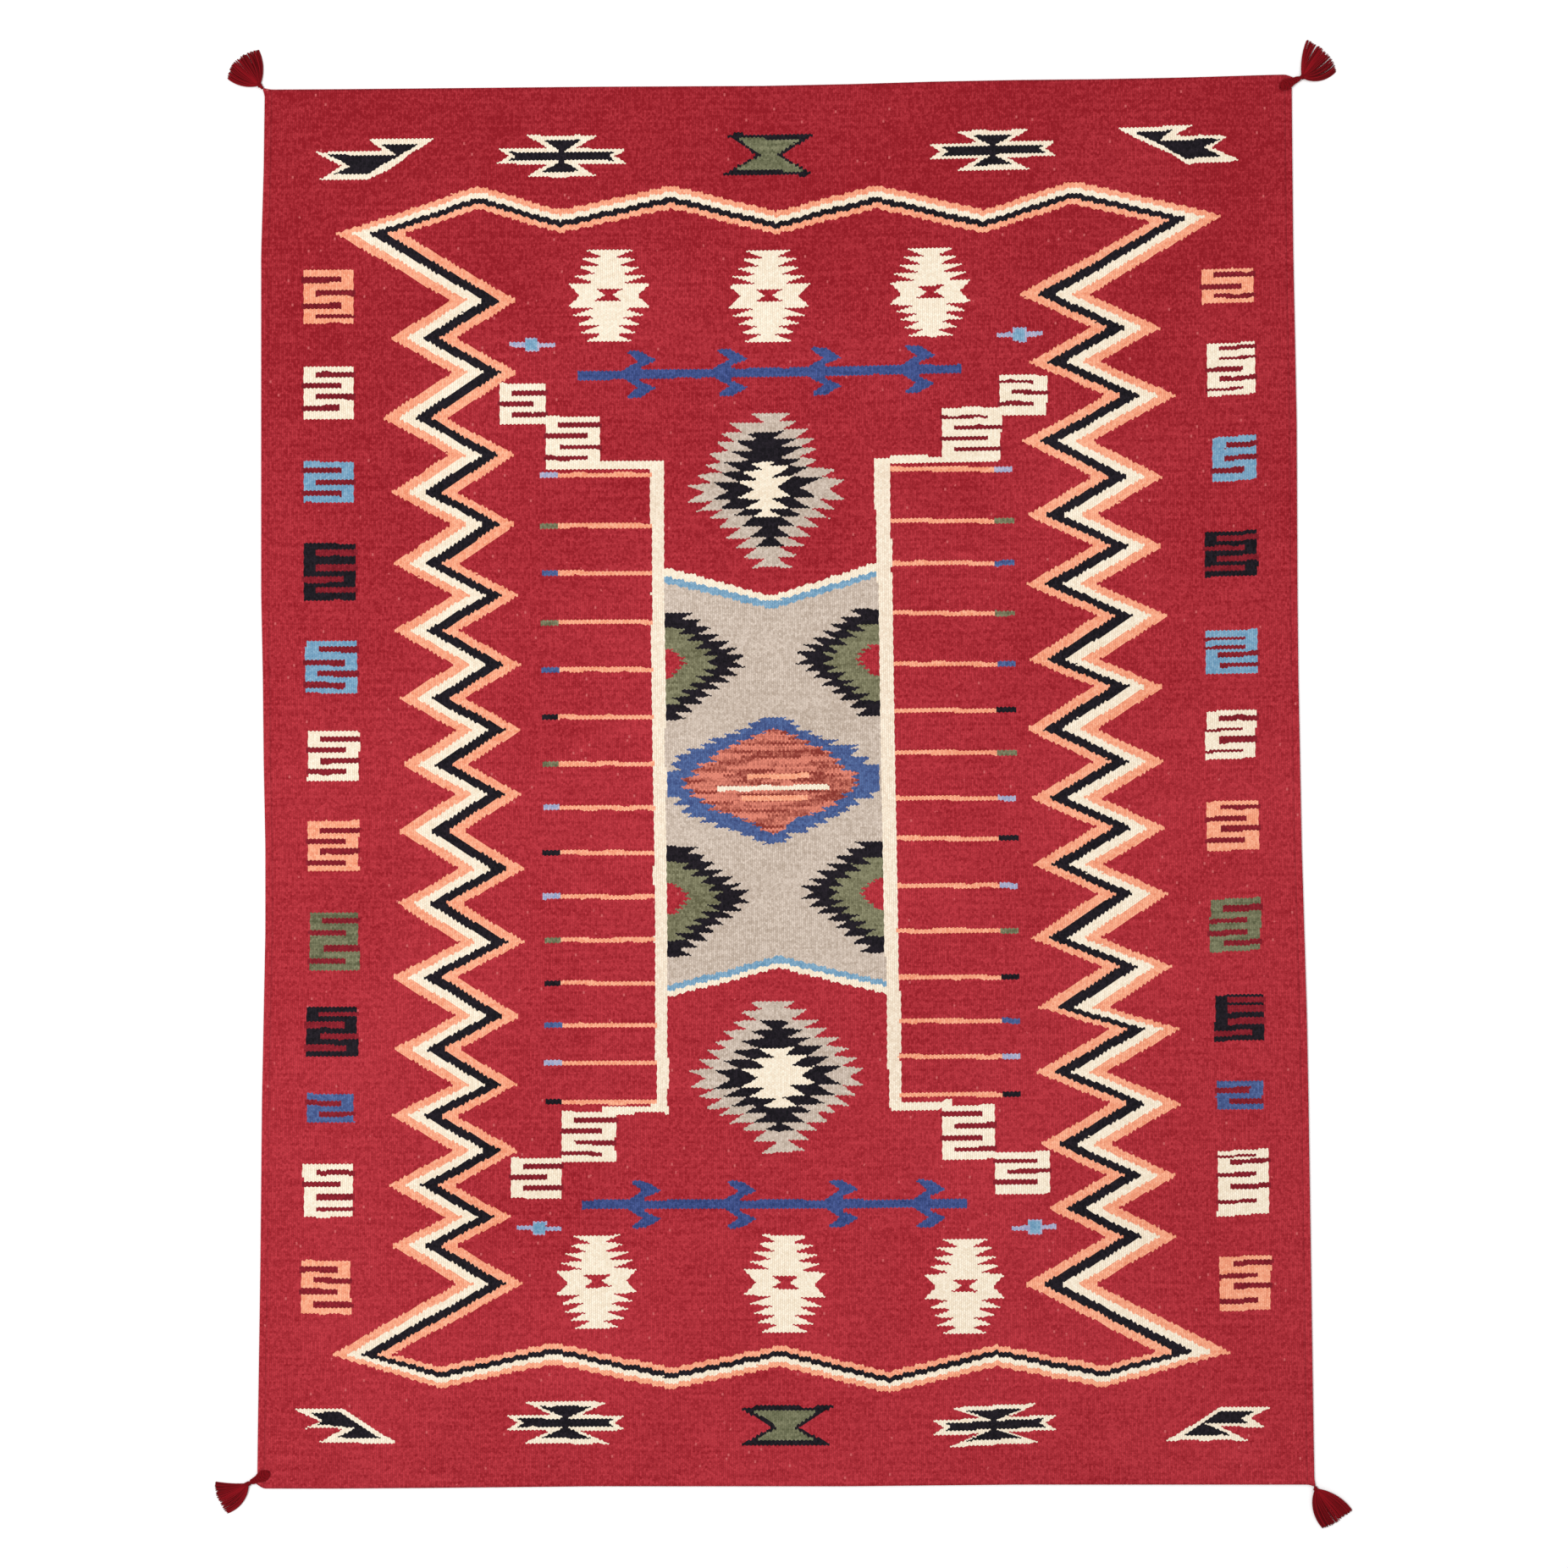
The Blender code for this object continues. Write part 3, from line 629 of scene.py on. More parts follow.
def weave_border(chart):
    """The four zigzag bands, one inside the other."""
    left = []
    for number, inner in enumerate(BORDER_LEFT_IN):
        left.append(inner)
        left += BORDER_LEFT_OUT[number:number + 1]
    right = []
    for number, inner in enumerate(BORDER_RIGHT_IN):
        right.append(inner)
        right += BORDER_RIGHT_OUT[number:number + 1]
    sides = (
        ("top_left", "top", BORDER_TOP),
        ("top_right", "right", right),
        ("bottom_right", "bottom", BORDER_BOTTOM),
        ("bottom_left", "left", left[::-1]),
    )
    rows = []
    for corner, side, places in sides:
        rows.append(BORDER_CORNERS[corner])
        rows += [(place, BORDER_REACH[side]) for place in places]
    for share, yarn in BORDER_BANDS:
        chart.polygon([(x + dx * share, y + dy * share) for (x, y), (dx, dy) in rows], yarn)


def weave_key(chart, yarn, left, right, top, slope, slots, heights):
    """One key figure: its block, then the slots in red darkened as painted shade between the bars."""
    chart.polygon(block(left, right, top, top + sum(heights), slope), yarn, True)
    down = top
    for number, height in enumerate(heights):
        if number % 2 == 1:
            if slots[number // 2] == "L":
                start, end = left - 2, right - KEY_END
            else:
                start, end = left + KEY_END, right + 2
            rise = slope * (start - left)
            slot = block(start, end, down + rise, down + rise + height, slope)
            chart.polygon(slot, "painted_shade_red", True)
        down += height


def spindle_outline(half_height):
    """The outline of a stack of teeth, widest next to its middle: every tooth is level on the side
    away from the middle and slants back on the other."""
    pitch = half_height / (SPINDLE_ROWS + SPINDLE_WAIST)
    quarters = []
    for side in (-1, 1):
        for half in (-1, 1):
            quarter = []
            for row in range(SPINDLE_ROWS):
                share = row / (SPINDLE_ROWS - 1)
                out = SPINDLE_TIPS[0] + (SPINDLE_TIPS[1] - SPINDLE_TIPS[0]) * share
                back = SPINDLE_NOTCHES[0] + (SPINDLE_NOTCHES[1] - SPINDLE_NOTCHES[0]) * share
                level = half_height - row * pitch
                quarter.append((side * out, half * level))
                if row < SPINDLE_ROWS - 1:
                    quarter.append((side * back, half * (level - pitch * SPINDLE_CUT)))
                else:
                    quarter.append((side * (out - SPINDLE_FORK), 0.0))
            quarters.append(quarter if half < 0 else quarter[-2::-1])
    return quarters[0] + quarters[1] + (quarters[2] + quarters[3])[::-1]


def weave_spindles(chart):
    """The cream spindles with a red bow at the middle."""
    for across, down, half_height, slope in SPINDLES:
        chart.figure(across, down, slope, spindle_outline(half_height), "cream")
        for half in (-1, 1):
            bow = [(x, y * half) for x, y in BOW]
            chart.figure(across, down - BOW_RISE, slope, bow, "red")


def weave_middle_panel(chart):
    """The taupe panel between the posts, its chevrons, half diamonds and middle diamond."""
    chart.polygon(PANEL, "taupe")
    for yarn, upper, lower in CHEVRONS:
        xs = LOWER_CHEVRON_ACROSS if upper[0] > PHOTO_MIDDLE else UPPER_CHEVRON_ACROSS
        edges = list(zip(xs, upper)) + list(zip(xs, lower))[::-1]
        chart.polygon(edges, yarn)
    for across, side, down, share in HALF_DIAMONDS:
        for yarn, outline in HALF_DIAMOND_LAYERS:
            corners = [(across + side * x, down + share * y) for x, y in outline]
            chart.polygon(corners, yarn, True)
    for yarn, corners in DIAMOND_LAYERS + DIAMOND_DASHES:
        chart.polygon(corners, yarn, True)


def weave_pins(chart):
    """The orange pins, each with a tip of another yarn at its free end."""
    for left_down, right_down, tip in PINS:
        for down, ends, lean, tip_first in (
            (left_down, LEFT_PIN_ENDS, LEFT_PIN_LEAN, True),
            (right_down, RIGHT_PIN_ENDS, RIGHT_PIN_LEAN, False),
        ):
            start, inner, end = (place + lean * (down - FIRST_PIN_DOWN) for place in ends)
            line = (inner, end) if tip_first else (start, inner)
            point = (start, inner) if tip_first else (inner, end)
            half = PIN_THICKNESS / 2
            chart.polygon(block(line[0], line[1], down - half, down + half), "orange", True)
            half += PIN_TIP_MORE
            chart.polygon(block(point[0], point[1], down - half, down + half), tip, True)


def weave_branches(chart):
    """The blue branches with their barbs above and below."""
    for left, right, left_down, right_down, barbs in BRANCHES:
        slope = (right_down - left_down) / (right - left)
        chart.polygon(
            block(left, right, left_down - BRANCH_HALF, left_down + BRANCH_HALF, slope),
            "deep_blue", True,
        )
        for across in barbs:
            middle = left_down + slope * (across - left)
            for half in (-1, 1):
                hook = [(across + x, middle - half * y) for x, y in BARB]
                chart.polygon(hook, "deep_blue", True)


def weave_small_crosses(chart):
    """The pale blue crosses beside the branches."""
    for across, down, half, slope in SMALL_CROSSES:
        rise = slope * CROSS_ARM
        arm = block(
            across - CROSS_ARM, across + CROSS_ARM, down - CROSS_ARM_HALF - rise,
            down + CROSS_ARM_HALF - rise, slope,
        )
        chart.polygon(arm, "pale_blue", True)
        for reach, yarn in ((half, "pale_blue"), (half - CROSS_RIM, "light_blue")):
            middle = block(across - reach, across + reach, down - reach, down + reach)
            chart.polygon(middle, yarn, True)


def weave_crosses(chart):
    """The black crosses with forked ends, outlined in cream."""
    for across, down, bar, top, bottom, high, slope in CROSSES:
        cream = (
            (-top, -high), (top, -high), (17, -9.5), (bar, -8), (bar - 13, 0), (bar, 8.5), (17, 9.5),
            (bottom, high), (-bottom, high), (-17, 9.5), (-bar, 8.5), (-bar + 13, 0), (-bar, -8),
            (-17, -9.5),
        )
        black = (
            (-top + 18, -high + 5), (top - 18, -high + 5), (3, -6), (3, -5), (bar - 13, -5),
            (bar - 20, 0), (bar - 13, 5), (3, 5), (3, 6), (bottom - 20, high - 6),
            (-bottom + 20, high - 6), (-3, 6), (-3, 5), (-bar + 13, 5), (-bar + 22, 0),
            (-bar + 13, -5), (-3, -5), (-3, -6),
        )
        for corners, yarn in ((cream, "cream"), (black, "black")):
            chart.figure(across, down, slope, corners, yarn)


def weave_hourglasses(chart):
    """The sage hourglasses with a black rim."""
    for across, (top, waist, bottom), outer, inner in HOURGLASSES:
        layers = ((outer, 0.0, "black"), (inner, HOURGLASS_RIM, "sage"))
        for (upper, middle, lower), rim, yarn in layers:
            corners = (
                (across - upper, top + rim), (across + upper, top + rim), (across + middle, waist),
                (across + lower, bottom - rim), (across - lower, bottom - rim),
                (across - middle, waist),
            )
            chart.polygon(corners, yarn)


def weave_design():
    """The whole chart, from the field to the smallest figures."""
    chart = Chart()
    weave_border(chart)
    for row in SIDE_KEYS + STEPPED_KEYS:
        weave_key(chart, *row)
    weave_middle_panel(chart)
    for yarn, corners in POSTS:
        chart.polygon(corners, yarn)
    weave_pins(chart)
    weave_spindles(chart)
    for yarn, corners in OVALS:
        chart.polygon(corners, yarn, True)
    weave_branches(chart)
    weave_small_crosses(chart)
    weave_crosses(chart)
    weave_hourglasses(chart)
    for outline, inside in ARROWS:
        chart.polygon(outline, "cream", True)
        chart.polygon(inside, "black", True)
    return chart


# Geometry of the cloth: how far the ends of neighbouring floats differ, in picks, the edges' other
# small forms, and how many warps and picks one place of the underside's chart spans
TOOTH = 0.42
SLANT_PICKS = 2
UNDER_STEP = 2
TURN_EVERY = 3.2
TURN_LEAN = 0.22


class Pieces:
    """Corners and links of the lines that part the yarns, in lattice places."""

    def __init__(self):
        self.places = []
        self.numbers = {}
        self.links = set()

    def corner(self, warp, pick):
        key = (round(warp, 3), round(pick, 3))
        if key not in self.numbers:
            self.numbers[key] = len(self.places)
            self.places.append(key)
        return self.numbers[key]

    def link(self, one, other):
        if one != other:
            self.links.add((min(one, other), max(one, other)))


def parting_lines(pieces, yarn, step):
    """The lines between unlike yarns. A level line zigzags from float to float, and where it steps
    by a pick or two from one warp to the next it runs slantwise."""
    rows, columns = yarn.shape
    level = np.zeros((rows + 1, columns), bool)
    level[1:-1] = yarn[1:] != yarn[:-1]
    upright = np.zeros((rows, columns + 1), bool)
    upright[:, 1:-1] = yarn[:, 1:] != yarn[:, :-1]
    left = np.zeros((rows + 1, columns + 1), bool)
    right, above, below = left.copy(), left.copy(), left.copy()
    left[:, 1:] = level
    right[:, :-1] = level
    above[1:] = upright
    below[:-1] = upright
    count = 0 + left + right + above + below
    turn = (count == 2) & (left ^ right)
    passing = (count == 2) & left & right
    standing = (count == 2) & above & below

    def float_end(column, row):
        tooth = TOOTH if column % 2 else -TOOTH
        return pieces.corner((column + 0.5) * step, row * step + tooth)

    slanted = set()
    for column in np.nonzero(upright.any(0))[0].tolist():
        first = None
        for row in np.nonzero(upright[:, column])[0].tolist():
            if first is None:
                first = row
            if standing[row + 1, column]:
                continue
            ends = (first, row + 1)
            turns = turn[ends[0], column] and turn[ends[1], column]
            opposite = left[ends[0], column] != left[ends[1], column]
            if row + 1 - first <= SLANT_PICKS and turns and opposite:
                slanted.update((column, end) for end in ends)
                floats = [float_end(column - int(left[end, column]), end) for end in ends]
                pieces.link(*floats)
            else:
                stand(pieces, column * step, first * step, (row + 1) * step)
            first = None
    for row, column in zip(*(side.tolist() for side in np.nonzero(level))):
        here = float_end(column, row)
        if passing[row, column + 1]:
            pieces.link(here, float_end(column + 1, row))
        for end in (column, column + 1):
            if not passing[row, end] and (end, row) not in slanted:
                pieces.link(here, pieces.corner(end * step, row * step))


def stand(pieces, warp, top, bottom):
    """An upright line between two yarns, which lean in and out a little where they turn back."""
    line = [pieces.corner(warp, top)]
    count = int((bottom - top) / TURN_EVERY)
    for number in range(1, count):
        lean = TURN_LEAN if number % 2 else -TURN_LEAN
        line.append(pieces.corner(warp + lean, top + (bottom - top) * number / count))
    line.append(pieces.corner(warp, bottom))
    for one, other in zip(line, line[1:]):
        pieces.link(one, other)


def rim_places():
    """Lattice places round the cloth, clockwise from the top left, closer near the corners."""
    def stations(count):
        fine = list(range(RIM_FINE_CELLS))
        spread = list(range(RIM_FINE_CELLS, count - RIM_FINE_CELLS, RIM_STATION_EVERY))
        return fine + spread + list(range(count - RIM_FINE_CELLS, count))

    across = stations(WARPS)
    down = stations(PICKS)
    rim = [(warp, 0) for warp in across]
    rim += [(WARPS, pick) for pick in down]
    rim += [(WARPS - warp, PICKS) for warp in across]
    rim += [(0, PICKS - pick) for pick in down]
    return rim


def tile(yarn, step, rim, selvedge):
    """Triangles that cover the cloth once, each wholly in one yarn: places, triangles, yarns."""
    pieces = Pieces()
    rim_numbers = [pieces.corner(*place) for place in rim]
    for one, other in zip(rim_numbers, rim_numbers[1:] + rim_numbers[:1]):
        pieces.link(one, other)
    parting_lines(pieces, yarn, step)
    if selvedge:
        inner_rows = sorted({pick for warp, pick in rim if warp == 0 and 0 < pick < PICKS})
        for depth, _ in SELVEDGE_PROFILE[1:]:
            for warp in (depth, WARPS - depth):
                line = [pieces.corner(warp, pick) for pick in inner_rows]
                for one, other in zip(line, line[1:]):
                    pieces.link(one, other)
    places = [Vector(place) for place in pieces.places]
    made = delaunay_2d_cdt(places, sorted(pieces.links), [], 0, 1e-5, True)
    corners = np.array([tuple(corner) for corner in made[0]])
    triangles = np.array(made[2])
    wall = {tuple(sorted(edge)) for edge, kept in zip(made[1], made[4]) if kept}
    return corners, triangles, yarn_of_triangles(corners, triangles, wall, yarn, step)


def yarn_of_triangles(corners, triangles, wall, yarn, step):
    """Each stretch of triangles that no parting line divides takes the yarn most of it lies on."""
    a, b, c = (corners[triangles[:, number]] for number in range(3))
    one, other = b - a, c - a
    area = abs(one[:, 0] * other[:, 1] - one[:, 1] * other[:, 0])
    middle = (a + b + c) / 3 / step
    rows = np.clip(middle[:, 1].astype(int), 0, yarn.shape[0] - 1)
    columns = np.clip(middle[:, 0].astype(int), 0, yarn.shape[1] - 1)
    vote = yarn[rows, columns]
    by_edge = {}
    neighbours = [[] for _ in range(len(triangles))]
    for number, triangle in enumerate(triangles.tolist()):
        for one, other in ((0, 1), (1, 2), (2, 0)):
            edge = (triangle[one], triangle[other])
            edge = edge if edge[0] < edge[1] else edge[::-1]
            if edge in wall:
                continue
            if edge in by_edge:
                neighbours[number].append(by_edge[edge])
                neighbours[by_edge[edge]].append(number)
            else:
                by_edge[edge] = number
    group = np.full(len(triangles), -1)
    groups = 0
    for first in range(len(triangles)):
        if group[first] >= 0:
            continue
        group[first] = groups
        waiting = [first]
        while waiting:
            for other in neighbours[waiting.pop()]:
                if group[other] < 0:
                    group[other] = groups
                    waiting.append(other)
        groups += 1
    votes = np.zeros((groups, len(YARN_NAMES)))
    np.add.at(votes, (group, vote), area)
    return votes.argmax(1)[group]


def face_height(places):
    """How high the cloth's face stands at these lattice places: the selvedges are thicker."""
    depth = np.minimum(places[:, 0], WARPS - places[:, 0])
    table = np.array(SELVEDGE_PROFILE)
    near_end = np.minimum(places[:, 1], PICKS - places[:, 1])
    height = np.interp(depth, table[:, 0], table[:, 1])
    return np.where(near_end < 1e-6, CLOTH_TOP, height)


def rim_numbers(start, places, rim):
    """The vertex numbers of the rim's places, in a face whose vertices begin at this number."""
    number_of = {}
    for number, (warp, pick) in enumerate(places.tolist()):
        number_of[(round(warp, 3), round(pick, 3))] = start + number
    return [number_of[(float(warp), float(pick))] for warp, pick in rim]


def build_cloth(materials):
    """The cloth as one closed mesh: face, rounded rim and underside, with the weave as its UVs."""
    chart = weave_design()
    rim = rim_places()
    under_yarn = chart.yarn[::UNDER_STEP, ::UNDER_STEP]
    face, face_triangles, face_yarns = tile(chart.yarn, 1, rim, True)
    under, under_triangles, under_yarns = tile(under_yarn, UNDER_STEP, rim, False)

    rim_array = np.array(rim, float)
    outline = lay_out(rim_array[:, 0], rim_array[:, 1])
    ahead = np.roll(outline, -1, axis=0) - np.roll(outline, 1, axis=0)
    outward = np.stack([-ahead[:, 1], ahead[:, 0]], axis=1)
    outward /= np.linalg.norm(outward, axis=1, keepdims=True)

    verts = []
    lattice = []
    faces = []
    yarns = []

    def add(places, heights, source):
        first = len(verts)
        verts.extend((x, y, z) for (x, y), z in zip(places, heights))
        lattice.extend(source)
        return first

    start = add(lay_out(face[:, 0], face[:, 1]), face_height(face), face)
    for triangle, yarn in zip(face_triangles, face_yarns):
        a, b, c = (start + int(number) for number in triangle)
        faces.append((a, c, b))
        yarns.append(yarn)
    ring = rim_numbers(start, face, rim)

    start = add(lay_out(under[:, 0], under[:, 1]), np.zeros(len(under)), under)
    for triangle, yarn in zip(under_triangles, under_yarns):
        faces.append(tuple(start + int(number) for number in triangle))
        yarns.append(yarn)
    last_ring = rim_numbers(start, under, rim)

    red = YARN_NAMES.index("red")
    inset = RIM_RINGS[0][0]
    rings = [ring]
    for depth, height in RIM_RINGS[1:-1]:
        out = inset - depth
        beyond = rim_array + outward * (1, -1) * out / (CUT_WIDTH / WARPS, CUT_LENGTH / PICKS)
        first = add(outline + outward * out, np.full(len(rim), height), beyond)
        rings.append(list(range(first, first + len(rim))))
    rings.append(last_ring)
    count = len(rim)
    for upper, lower in zip(rings, rings[1:]):
        for number in range(count):
            after = (number + 1) % count
            faces.append((upper[number], upper[after], lower[after], lower[number]))
            yarns.append(red)

    mesh = bpy.data.meshes.new("rug_cloth")
    mesh.from_pydata(verts, [], faces)
    for name in YARN_NAMES:
        mesh.materials.append(materials[name])
    mesh.polygons.foreach_set("material_index", np.array(yarns, np.int32))
    corner_numbers = np.empty(len(mesh.loops), np.int32)
    mesh.loops.foreach_get("vertex_index", corner_numbers)
    lattice = np.array(lattice, float)
    weave = mesh.uv_layers.new(name="Weave")
    weave.data.foreach_set("uv", lattice[corner_numbers].ravel())
    mesh.validate()
    cloth = bpy.data.objects.new("rug_cloth", mesh)
    bpy.context.scene.collection.objects.link(cloth)
    return cloth


# Materials


class Nodes:
    """A short way to add and join shader nodes."""

    def __init__(self, material):
        material.use_nodes = True
        self.tree = material.node_tree
        self.shader = self.tree.nodes["Principled BSDF"]

    def add(self, kind, inputs=(), **settings):
        node = self.tree.nodes.new(kind)
        for name, value in settings.items():
            setattr(node, name, value)
        for socket, value in dict(inputs).items():
            if isinstance(value, bpy.types.NodeSocket):
                self.tree.links.new(value, node.inputs[socket])
            else:
                node.inputs[socket].default_value = value
        return node

    def math(self, operation, one, other=None, third=None, clamp=False):
        values = {0: one}
        if other is not None:
            values[1] = other
        if third is not None:
            values[2] = third
        node = self.add("ShaderNodeMath", values, operation=operation, use_clamp=clamp)
        return node.outputs[0]

    def mix(self, share, one, other):
        node = self.add("ShaderNodeMix", {0: share, 6: one, 7: other}, data_type="RGBA")
        return node.outputs[2]

    def dress(self, colour, height, strength, distance, values):
        """Give the shader its colour, its relief and its plain values."""
        bump = self.add(
            "ShaderNodeBump", {"Height": height, "Strength": strength, "Distance": distance}
        ).outputs[0]
        self.tree.links.new(colour, self.shader.inputs["Base Color"])
        self.tree.links.new(bump, self.shader.inputs["Normal"])
        for socket, value in values.items():
            self.shader.inputs[socket].default_value = value


# How much each kind of unevenness moves a yarn between its darker and its lighter shade
HEATHER_SHARE = 0.62
FIBRE_SHARE = 1.0
BLOTCH_SHARE = 0.5
STREAK_SHARE = 2.0
NOISES = {
    # name: (waves for each warp, waves for each pick, detail)
    "fibre": (1.15, 0.8, 3.0),
    "streak": (0.03, 0.45, 3.0),
    "blotch": (0.012, 0.008, 4.0),
    "fuzz": (2.9, 2.1, 2.0),
}
# The red field is darker near its top end
DARKER_TOP = {"red": 0.34, "painted_shade_red": 0.2}
DARKER_TOP_PICKS = PICKS / 2
DARKER_TOP_FROM = 0.8
# The yarns plied from two shades: how strongly their short stripes differ
MARL = {"rust": 0.62, "sage": 0.22, "olive": 0.15}
MARL_WARPS = 15.0
MARL_SHIFT = 0.37
# The relief of the ribs and the beads of weft on them, and how dark the painted shade in the grooves is
RIB_POWER = 0.6
BEAD_SHARE = 0.4
FUZZ_HEIGHT = 0.5
PAINTED_GROOVE_SHADE = 0.34
PAINTED_GROOVE_LEVEL = 0.6
WEAVE_RELIEF = 0.5 * MM
WEAVE_BUMP = 0.8
# Pale lint specks in the red, and the faint lines along the selvedges and ends: along the
# selvedges it is painted shade in their grooves
SPECK_SHARE = 0.0022
SPECK_RAGGED = 0.004
SPECK_COVER = 0.6
SPECK_COLOUR = srgb(206, 104, 104)
EDGE_LINE = (2.9, 3.7)
EDGE_LINE_SHADE = 0.84
END_LINE = 1.1
WOOL = {
    "Roughness": 0.92,
    "Specular IOR Level": 0.12,
    "Sheen Weight": 0.06,
    "Sheen Roughness": 0.5,
}


def red_details(nodes, warp, pick, heather, fibre, shade, colour):
    """The red yarn's darker edge lines, painted shade in the selvedge grooves, and its pale specks:
    the new shade and colour.
    """
    math_node = nodes.math
    from_side = math_node("MINIMUM", warp, math_node("SUBTRACT", float(WARPS), warp))
    from_end = math_node("MINIMUM", pick, math_node("SUBTRACT", float(PICKS), pick))
    # Painted shade: a darker line in the groove along each selvedge, and a darker line at the ends
    inner = math_node("GREATER_THAN", from_side, EDGE_LINE[0])
    outer = math_node("LESS_THAN", from_side, EDGE_LINE[1])
    end_line = math_node("LESS_THAN", from_end, END_LINE)
    line = math_node("MAXIMUM", math_node("MULTIPLY", inner, outer), end_line)
    shade = math_node("MULTIPLY", shade, math_node("MULTIPLY_ADD", line, EDGE_LINE_SHADE - 1.0, 1.0))
    ragged = math_node("ADD", heather, math_node("MULTIPLY", fibre, SPECK_RAGGED))
    spots = math_node("GREATER_THAN", ragged, 1.0 - SPECK_SHARE)
    return shade, nodes.mix(math_node("MULTIPLY", spots, SPECK_COVER), colour, SPECK_COLOUR)


def yarn_material(name, dark, light, streak):
    """One yarn: heathered floats in a brick pattern, streaks along the picks and woven relief,
    with painted shade in its grooves.
    """
    material = bpy.data.materials.new("yarn_" + name)
    nodes = Nodes(material)
    math_node = nodes.math
    place = nodes.add("ShaderNodeUVMap", uv_map="Weave").outputs[0]
    split = nodes.add("ShaderNodeSeparateXYZ", {0: place})
    warp, pick = split.outputs[0], split.outputs[1]
    column = math_node("FLOOR", warp)
    odd = math_node("FLOORED_MODULO", column, 2.0)
    float_place = math_node("MULTIPLY", math_node("ADD", pick, odd), 0.5)
    row = math_node("FLOOR", float_place)

    def speckle(across, down):
        at = nodes.add("ShaderNodeCombineXYZ", {0: across, 1: down}).outputs[0]
        return nodes.add("ShaderNodeTexWhiteNoise", {0: at}, noise_dimensions="2D").outputs[0]

    def noise(kind):
        waves_across, waves_along, detail = NOISES[kind]
        across = math_node("MULTIPLY", warp, waves_across)
        down = math_node("MULTIPLY", pick, waves_along)
        at = nodes.add("ShaderNodeCombineXYZ", {0: across, 1: down}).outputs[0]
        settings = {"Vector": at, "Scale": 1.0, "Detail": detail}
        wave = nodes.add("ShaderNodeTexNoise", settings, noise_dimensions="2D").outputs[0]
        return math_node("SUBTRACT", wave, 0.5)

    heather = speckle(column, row)
    fibre = noise("fibre")
    share = math_node("MULTIPLY_ADD", heather, HEATHER_SHARE, 0.5 - HEATHER_SHARE / 2)
    share = math_node("MULTIPLY_ADD", fibre, FIBRE_SHARE, share)
    share = math_node("MULTIPLY_ADD", noise("streak"), STREAK_SHARE * streak, share)
    share = math_node("MULTIPLY_ADD", noise("blotch"), BLOTCH_SHARE, share)
    if name in DARKER_TOP:
        down = math_node("MULTIPLY", pick, 1.0 / DARKER_TOP_PICKS, clamp=True)
        drift = DARKER_TOP[name]
        share = math_node("ADD", share, math_node("MULTIPLY_ADD", down, drift, -drift * DARKER_TOP_FROM))
    if name in MARL:
        stretch = math_node("MULTIPLY", warp, 1 / MARL_WARPS)
        stripe = math_node("FLOOR", math_node("MULTIPLY_ADD", row, MARL_SHIFT, stretch))
        shade = math_node("SUBTRACT", speckle(stripe, row), 0.5)
        share = math_node("MULTIPLY_ADD", shade, 2 * MARL[name], share)
    share = math_node("MULTIPLY", share, 1.0, clamp=True)
    colour = nodes.mix(share, dark, light)

    rib = math_node("ABSOLUTE", math_node("SINE", math_node("MULTIPLY", warp, math.pi)))
    bead = math_node("ABSOLUTE", math_node("SINE", math_node("MULTIPLY", float_place, math.pi)))
    bead = math_node("MULTIPLY_ADD", bead, BEAD_SHARE, 1.0 - BEAD_SHARE)
    relief = math_node("MULTIPLY", math_node("POWER", rib, RIB_POWER), bead)
    # Painted shade: the colour darkens in the grooves between the ribs and the beads of weft
    shade = math_node("MULTIPLY_ADD", relief, PAINTED_GROOVE_SHADE, 1.0 - PAINTED_GROOVE_SHADE * PAINTED_GROOVE_LEVEL)
    if name == "red":
        shade, colour = red_details(nodes, warp, pick, heather, fibre, shade, colour)
    shaded = nodes.add(
        "ShaderNodeMix", {0: 1.0, 6: colour, 7: shade}, data_type="RGBA", blend_type="MULTIPLY"
    ).outputs[2]
    height = math_node("MULTIPLY_ADD", noise("fuzz"), FUZZ_HEIGHT, relief)
    nodes.dress(shaded, height, WEAVE_BUMP, WEAVE_RELIEF, WOOL)
    return material


# The tassels' yarn
TASSEL_DARK = srgb(78, 0, 4)
TASSEL_LIGHT = srgb(150, 16, 28)
STRAND_SHADES = 0.7
STRAND_FIBRE = 0.35
STRAND_FIBRE_SCALE = 7.0
STRAND_BUMP = 0.4
STRAND_RELIEF = 0.3 * MM
TASSEL_WOOL = {"Roughness": 0.85, "Specular IOR Level": 0.08, "Sheen Weight": 0.02}


def tassel_material():
    """Plied crimson yarn, each strand of its own shade, with fine fibre along it."""
    material = bpy.data.materials.new("tassel_yarn")
    nodes = Nodes(material)
    place = nodes.add("ShaderNodeUVMap", uv_map="Strand").outputs[0]
    split = nodes.add("ShaderNodeSeparateXYZ", {0: place})
    strand = nodes.math("FLOOR", split.outputs[0])
    own = nodes.add("ShaderNodeTexWhiteNoise", {1: strand}, noise_dimensions="1D").outputs[0]
    settings = {"Vector": place, "Scale": STRAND_FIBRE_SCALE, "Detail": 3.0}
    fibre = nodes.add("ShaderNodeTexNoise", settings, noise_dimensions="2D").outputs[0]
    share = nodes.math("MULTIPLY", fibre, STRAND_FIBRE)
    share = nodes.math("MULTIPLY_ADD", own, STRAND_SHADES, share, clamp=True)
    colour = nodes.mix(share, TASSEL_DARK, TASSEL_LIGHT)
    nodes.dress(colour, fibre, STRAND_BUMP, STRAND_RELIEF, TASSEL_WOOL)
    return material


